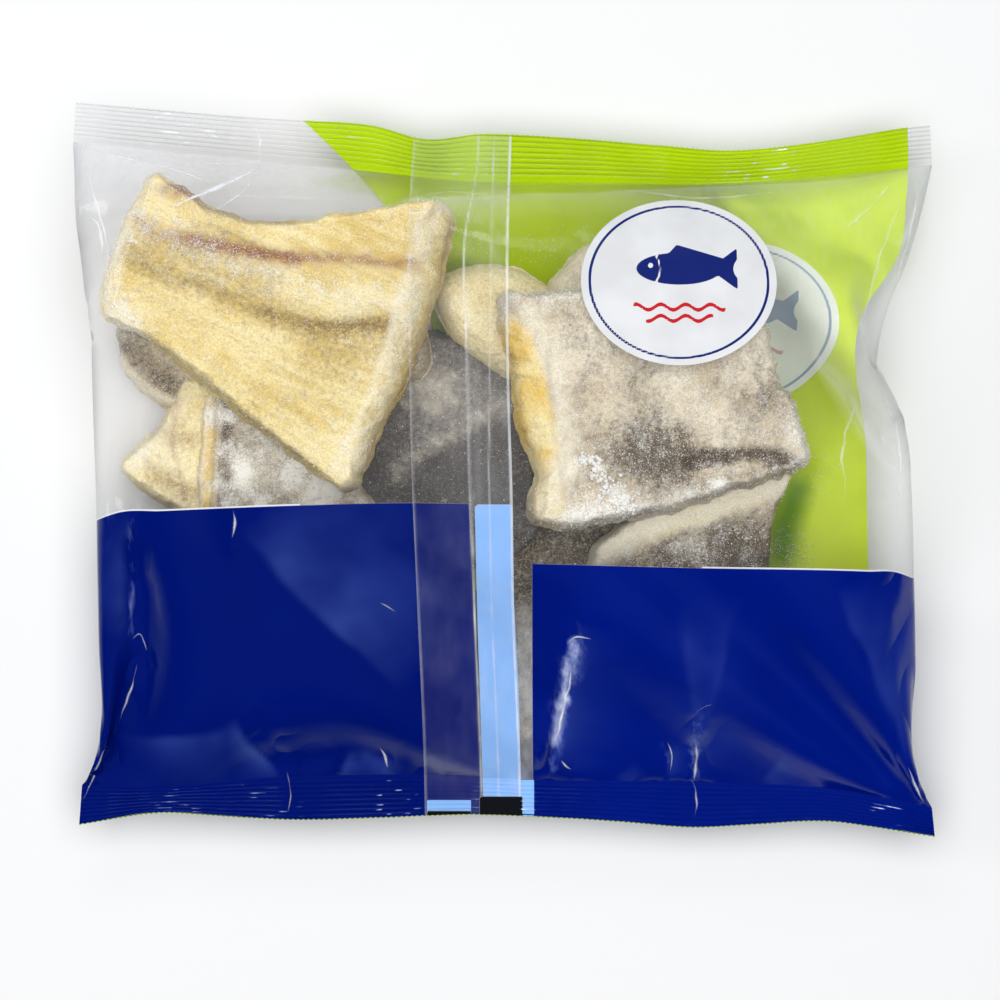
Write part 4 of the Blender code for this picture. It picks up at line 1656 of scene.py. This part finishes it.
def make_film(clouds):
    """The whole bag of film round the fish; returns its far side, for salt to lie on."""
    tube = finer_tube(settle_film(clouds))
    columns = tube.shape[1] // 2 + 1
    near = tube[:, :columns]
    far = np.concatenate([tube[:, columns - 1 :], tube[:, :1]], axis=1)
    crumpled, stands_out = crumple(near)
    faceted = facets(near)
    stands_out = stands_out + FACET_RELIEF * faceted
    near[1:-1, 1:-1, 2] += stands_out[1:-1, 1:-1]
    near_surface = film_surface(near)
    far_surface = film_surface(far)
    # Painted shade: the film darker near its two side folds
    from_fold = np.minimum(np.arange(columns), np.arange(columns)[::-1])
    fold_dim = np.tile(0.55 * np.exp(-from_fold / 2.5), len(near))
    near_points = near.reshape(-1, 3)
    near_film = new_sheet("near_film", near, NEAR_FILM)
    column, row = seen_at(near_points)
    in_gap = np.exp(-(((column - GAP_COLUMN) / GAP_REACH) ** 4)) * ramp(row, *GAP_ROWS)
    dust = GAP_DUST * in_gap * (1 + 0.8 * layered_noise(near_points, 0.006, 231))
    # Painted sheen at the upper right and painted light at the upper left, on top of the dust
    milky_sheen = ramp(column, *MILKY_SHEEN_COLUMNS) * ramp(row, *MILKY_SHEEN_ROWS)
    painted_light_veil = ramp(row, *PAINTED_LIGHT_VEIL_ROWS) * ramp(column, *PAINTED_LIGHT_VEIL_COLUMNS)
    give_values(
        near_film, haze=dust + MILKY_SHEEN * milky_sheen + PAINTED_LIGHT_VEIL * painted_light_veil, dim=fold_dim,
        crumple=crumpled.ravel(), glint=sheen(near_points), scuff=faceted.ravel(),
        **near_print(near_points),
    )
    far_points = far.reshape(-1, 3)
    far_film = new_sheet("far_film", far, FAR_FILM)
    give_values(far_film, haze=0.0, dim=fold_dim, **far_print(far_points))
    top_near, top_points = make_crimp("top_crimp_near", near[-1], TOP_CUT, True, True)
    bottom_near, bottom_points = make_crimp("bottom_crimp_near", near[0], BOTTOM_CUT, False, True)
    top_far, _ = make_crimp("top_crimp_far", near[-1], TOP_CUT, True, False)
    bottom_far, _ = make_crimp("bottom_crimp_far", near[0], BOTTOM_CUT, False, False)
    printed = [near_film, far_film, top_near, top_far, bottom_near, bottom_far]
    printed.append(make_label("near_label", NEAR_LABEL, near_surface, LABEL_LIFT, LABEL))
    for name, lift, ink in (
        ("far_label_back", LABEL_LIFT, LABEL_BACK),
        ("far_label", -LABEL_LIFT, LABEL),
    ):
        printed.append(make_label(name, FAR_LABEL, far_surface, lift, ink, from_above=False))
    clear = [make_flap(near, bottom_points, top_points), make_creases(near_surface)]
    for piece in printed + clear:
        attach(piece, "root")
        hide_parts("bag")
    return far_surface


# Salt


def grain_mesh(places, sizes, random):
    """Many small uneven crystals as one mesh."""
    corner = np.array([[x, y, z] for x in (-1, 1) for y in (-1, 1) for z in (-1, 1)], float)
    quads = np.array([
        [0, 1, 3, 2], [4, 6, 7, 5], [0, 4, 5, 1], [2, 3, 7, 6], [0, 2, 6, 4], [1, 5, 7, 3],
    ])
    count = len(places)
    shape = corner[None] * random.uniform(0.55, 1.0, (count, 1, 3))
    shape = shape + random.uniform(-0.22, 0.22, (count, 8, 3))
    turn = np.linalg.qr(random.normal(size=(count, 3, 3)))[0]
    turn[:, :, 0] *= np.sign(np.linalg.det(turn))[:, None]
    shape = np.einsum("nij,nkj->nki", turn, shape) * (sizes[:, None, None] / 2)
    points = shape + places[:, None, :]
    faces = quads[None] + 8 * np.arange(count)[:, None, None]
    grains = new_object("salt_grains", points.reshape(-1, 3), faces.reshape(-1, 4).tolist(), SALT)
    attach(grains, "root")
    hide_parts("bag")


def grain_sizes(random, count, least, more, power):
    """Sizes of some grains, in metres."""
    return least + more * random.power(power, count)


def scatter_on(points, weight, count, random):
    """Places chosen among points by weight, jittered a little."""
    chance = np.maximum(weight, 0.0)
    chosen = random.choice(len(points), count, p=chance / chance.sum())
    return points[chosen] + random.normal(0.0, 0.00035, (count, 3)) * np.array([1.0, 1.0, 0.3])


def salt_on_fish(made, random):
    """Places and sizes of the grains on the fish, the most where its frost is."""
    grains = []
    for piece, points in made:
        frost = np.zeros(len(points), np.float32)
        piece.data.attributes["frost"].data.foreach_get("value", frost)
        up = points[:, 2] > points[:, 2].min() + 0.45 * np.ptp(points[:, 2])
        area = np.hypot(*(points[:, :2] - points[:, :2].mean(axis=0)).T)
        weight = (0.1 + np.maximum(frost, 0.0) ** 1.5) * up * area
        count = SALT_PER_PIECE[piece.name]
        sizes = grain_sizes(random, count, *FINE_GRAINS)
        grains.append((scatter_on(points, weight, count, random), sizes))
        if piece.name == "cod_right_slab":
            lump = stroke(points, SALT_LUMP, UPPER_BASE + 0.02, SALT_LUMP_WIDTH)
            clumps = np.maximum(0.0, 0.3 + soft_noise(points, 0.0022, 93))
            sizes = grain_sizes(random, SALT_LUMP_GRAINS, *LUMP_GRAINS)
            places = scatter_on(points, lump * clumps * up * area, SALT_LUMP_GRAINS, random)
            grains.append((places, sizes))
    return grains


def salt_on_film(far_surface, random):
    """Places and sizes of the grains that lie on the far film between the pieces."""
    grains = []
    for mark, spread, count in LOOSE_SALT:
        x, y = spot(*mark, 0.004)
        cloud = random.normal(0.0, 0.5, (count, 2)) * np.array(spread) + np.array([x, y])
        height = height_on(far_surface, cloud[:, 0], cloud[:, 1], False) + 0.0002
        sizes = grain_sizes(random, count, *LOOSE_GRAINS)
        grains.append((np.column_stack([cloud, height]), sizes))
    return grains


def make_salt(made, far_surface):
    """All the grains, on the fish and on the film, as one mesh."""
    random = np.random.default_rng(91)
    grains = salt_on_fish(made, random) + salt_on_film(far_surface, random)
    places = np.vstack([place for place, _ in grains])
    sizes = np.concatenate([size for _, size in grains])
    grain_mesh(places, sizes, random)


SALT = salt_material()

# Floor, light and camera

SHEEN_COLOUR = (0.68, 0.82, 1.0)
HORIZON_LIGHT = 0.7
ZENITH_LIGHT = 0.05


def make_stage():
    """A plain light grey floor."""
    r = Recipe("floor_paper")
    tone = r.noise(0.4, detail=1.0)
    colour = r.blend(r.spread(tone, 0.3, 0.7), (0.755, 0.755, 0.755), (0.77, 0.77, 0.77))
    size = 3.0
    corners = [(-size, -size, 0.0), (size, -size, 0.0), (size, size, 0.0), (-size, size, 0.0)]
    floor = new_object("floor", corners, [(0, 1, 2, 3)], r.finish(r.body(colour, 0.9, 0.1)))


def softbox(name, place, size, power, in_reflections=True, colour=(1.0, 1.0, 1.0)):
    """A rectangular light that faces the bag."""
    light = bpy.data.lights.new(name, "AREA")
    light.shape = "RECTANGLE"
    light.size, light.size_y = size
    light.energy = power
    light.color = colour
    thing = bpy.data.objects.new(name, light)
    thing.location = place
    aim = Vector((0.0, 0.0, 0.01)) - Vector(place)
    thing.rotation_euler = aim.to_track_quat("-Z", "Y").to_euler()
    thing.visible_glossy = in_reflections
    bpy.context.scene.collection.objects.link(thing)


def make_lights():
    """A broad soft light from above, and four that show as highlights on the film."""
    softbox("overhead", (0.0, 0.0, 1.5), (2.4, 2.4), 44.0, in_reflections=False)
    softbox("sheen_left", (-0.45, 0.35, 1.2), (0.8, 0.5), 0.18, colour=SHEEN_COLOUR)
    softbox("sheen_right", (0.6, -0.2, 1.2), (0.6, 0.6), 0.07, colour=SHEEN_COLOUR)
    softbox("softbox_left", (-1.0, 0.3, 0.62), (0.5, 0.3), 2.2)
    softbox("softbox_far", (-0.15, 1.0, 0.62), (0.6, 0.25), 1.5)
    world = bpy.data.worlds.new("studio")
    world.use_nodes = True
    nodes = world.node_tree.nodes
    background = nodes["Background"]
    background.inputs["Color"].default_value = (*SHEEN_COLOUR, 1.0)
    way = nodes.new("ShaderNodeTexCoord")
    parts = nodes.new("ShaderNodeSeparateXYZ")
    fall = nodes.new("ShaderNodeMapRange")
    for number, setting in enumerate((0.0, 0.0, 0.3, HORIZON_LIGHT, ZENITH_LIGHT)):
        fall.inputs[number].default_value = setting
    world.node_tree.links.new(way.outputs["Generated"], parts.inputs[0])
    world.node_tree.links.new(parts.outputs["Z"], fall.inputs[0])
    world.node_tree.links.new(fall.outputs[0], background.inputs["Strength"])
    bpy.context.scene.world = world


def make_camera():
    """Straight above the bag, at the photograph's scale where the film is folded."""
    camera = bpy.data.cameras.new("camera")
    camera.sensor_width = SENSOR
    camera.lens = SENSOR * (CAMERA_HEIGHT - FOLD_LEVEL) / (PHOTO_SIDE * PIXEL)
    thing = bpy.data.objects.new("camera", camera)
    thing.location = (CAMERA_X, CAMERA_Y, CAMERA_HEIGHT)
    bpy.context.scene.collection.objects.link(thing)
    bpy.context.scene.camera = thing


fish = make_fish()
far_surface = make_film([close_points(piece) for piece, _ in fish])
make_salt(fish, far_surface)
make_stage()
make_lights()
make_camera()
bpy.context.scene.view_settings.view_transform = "Standard"
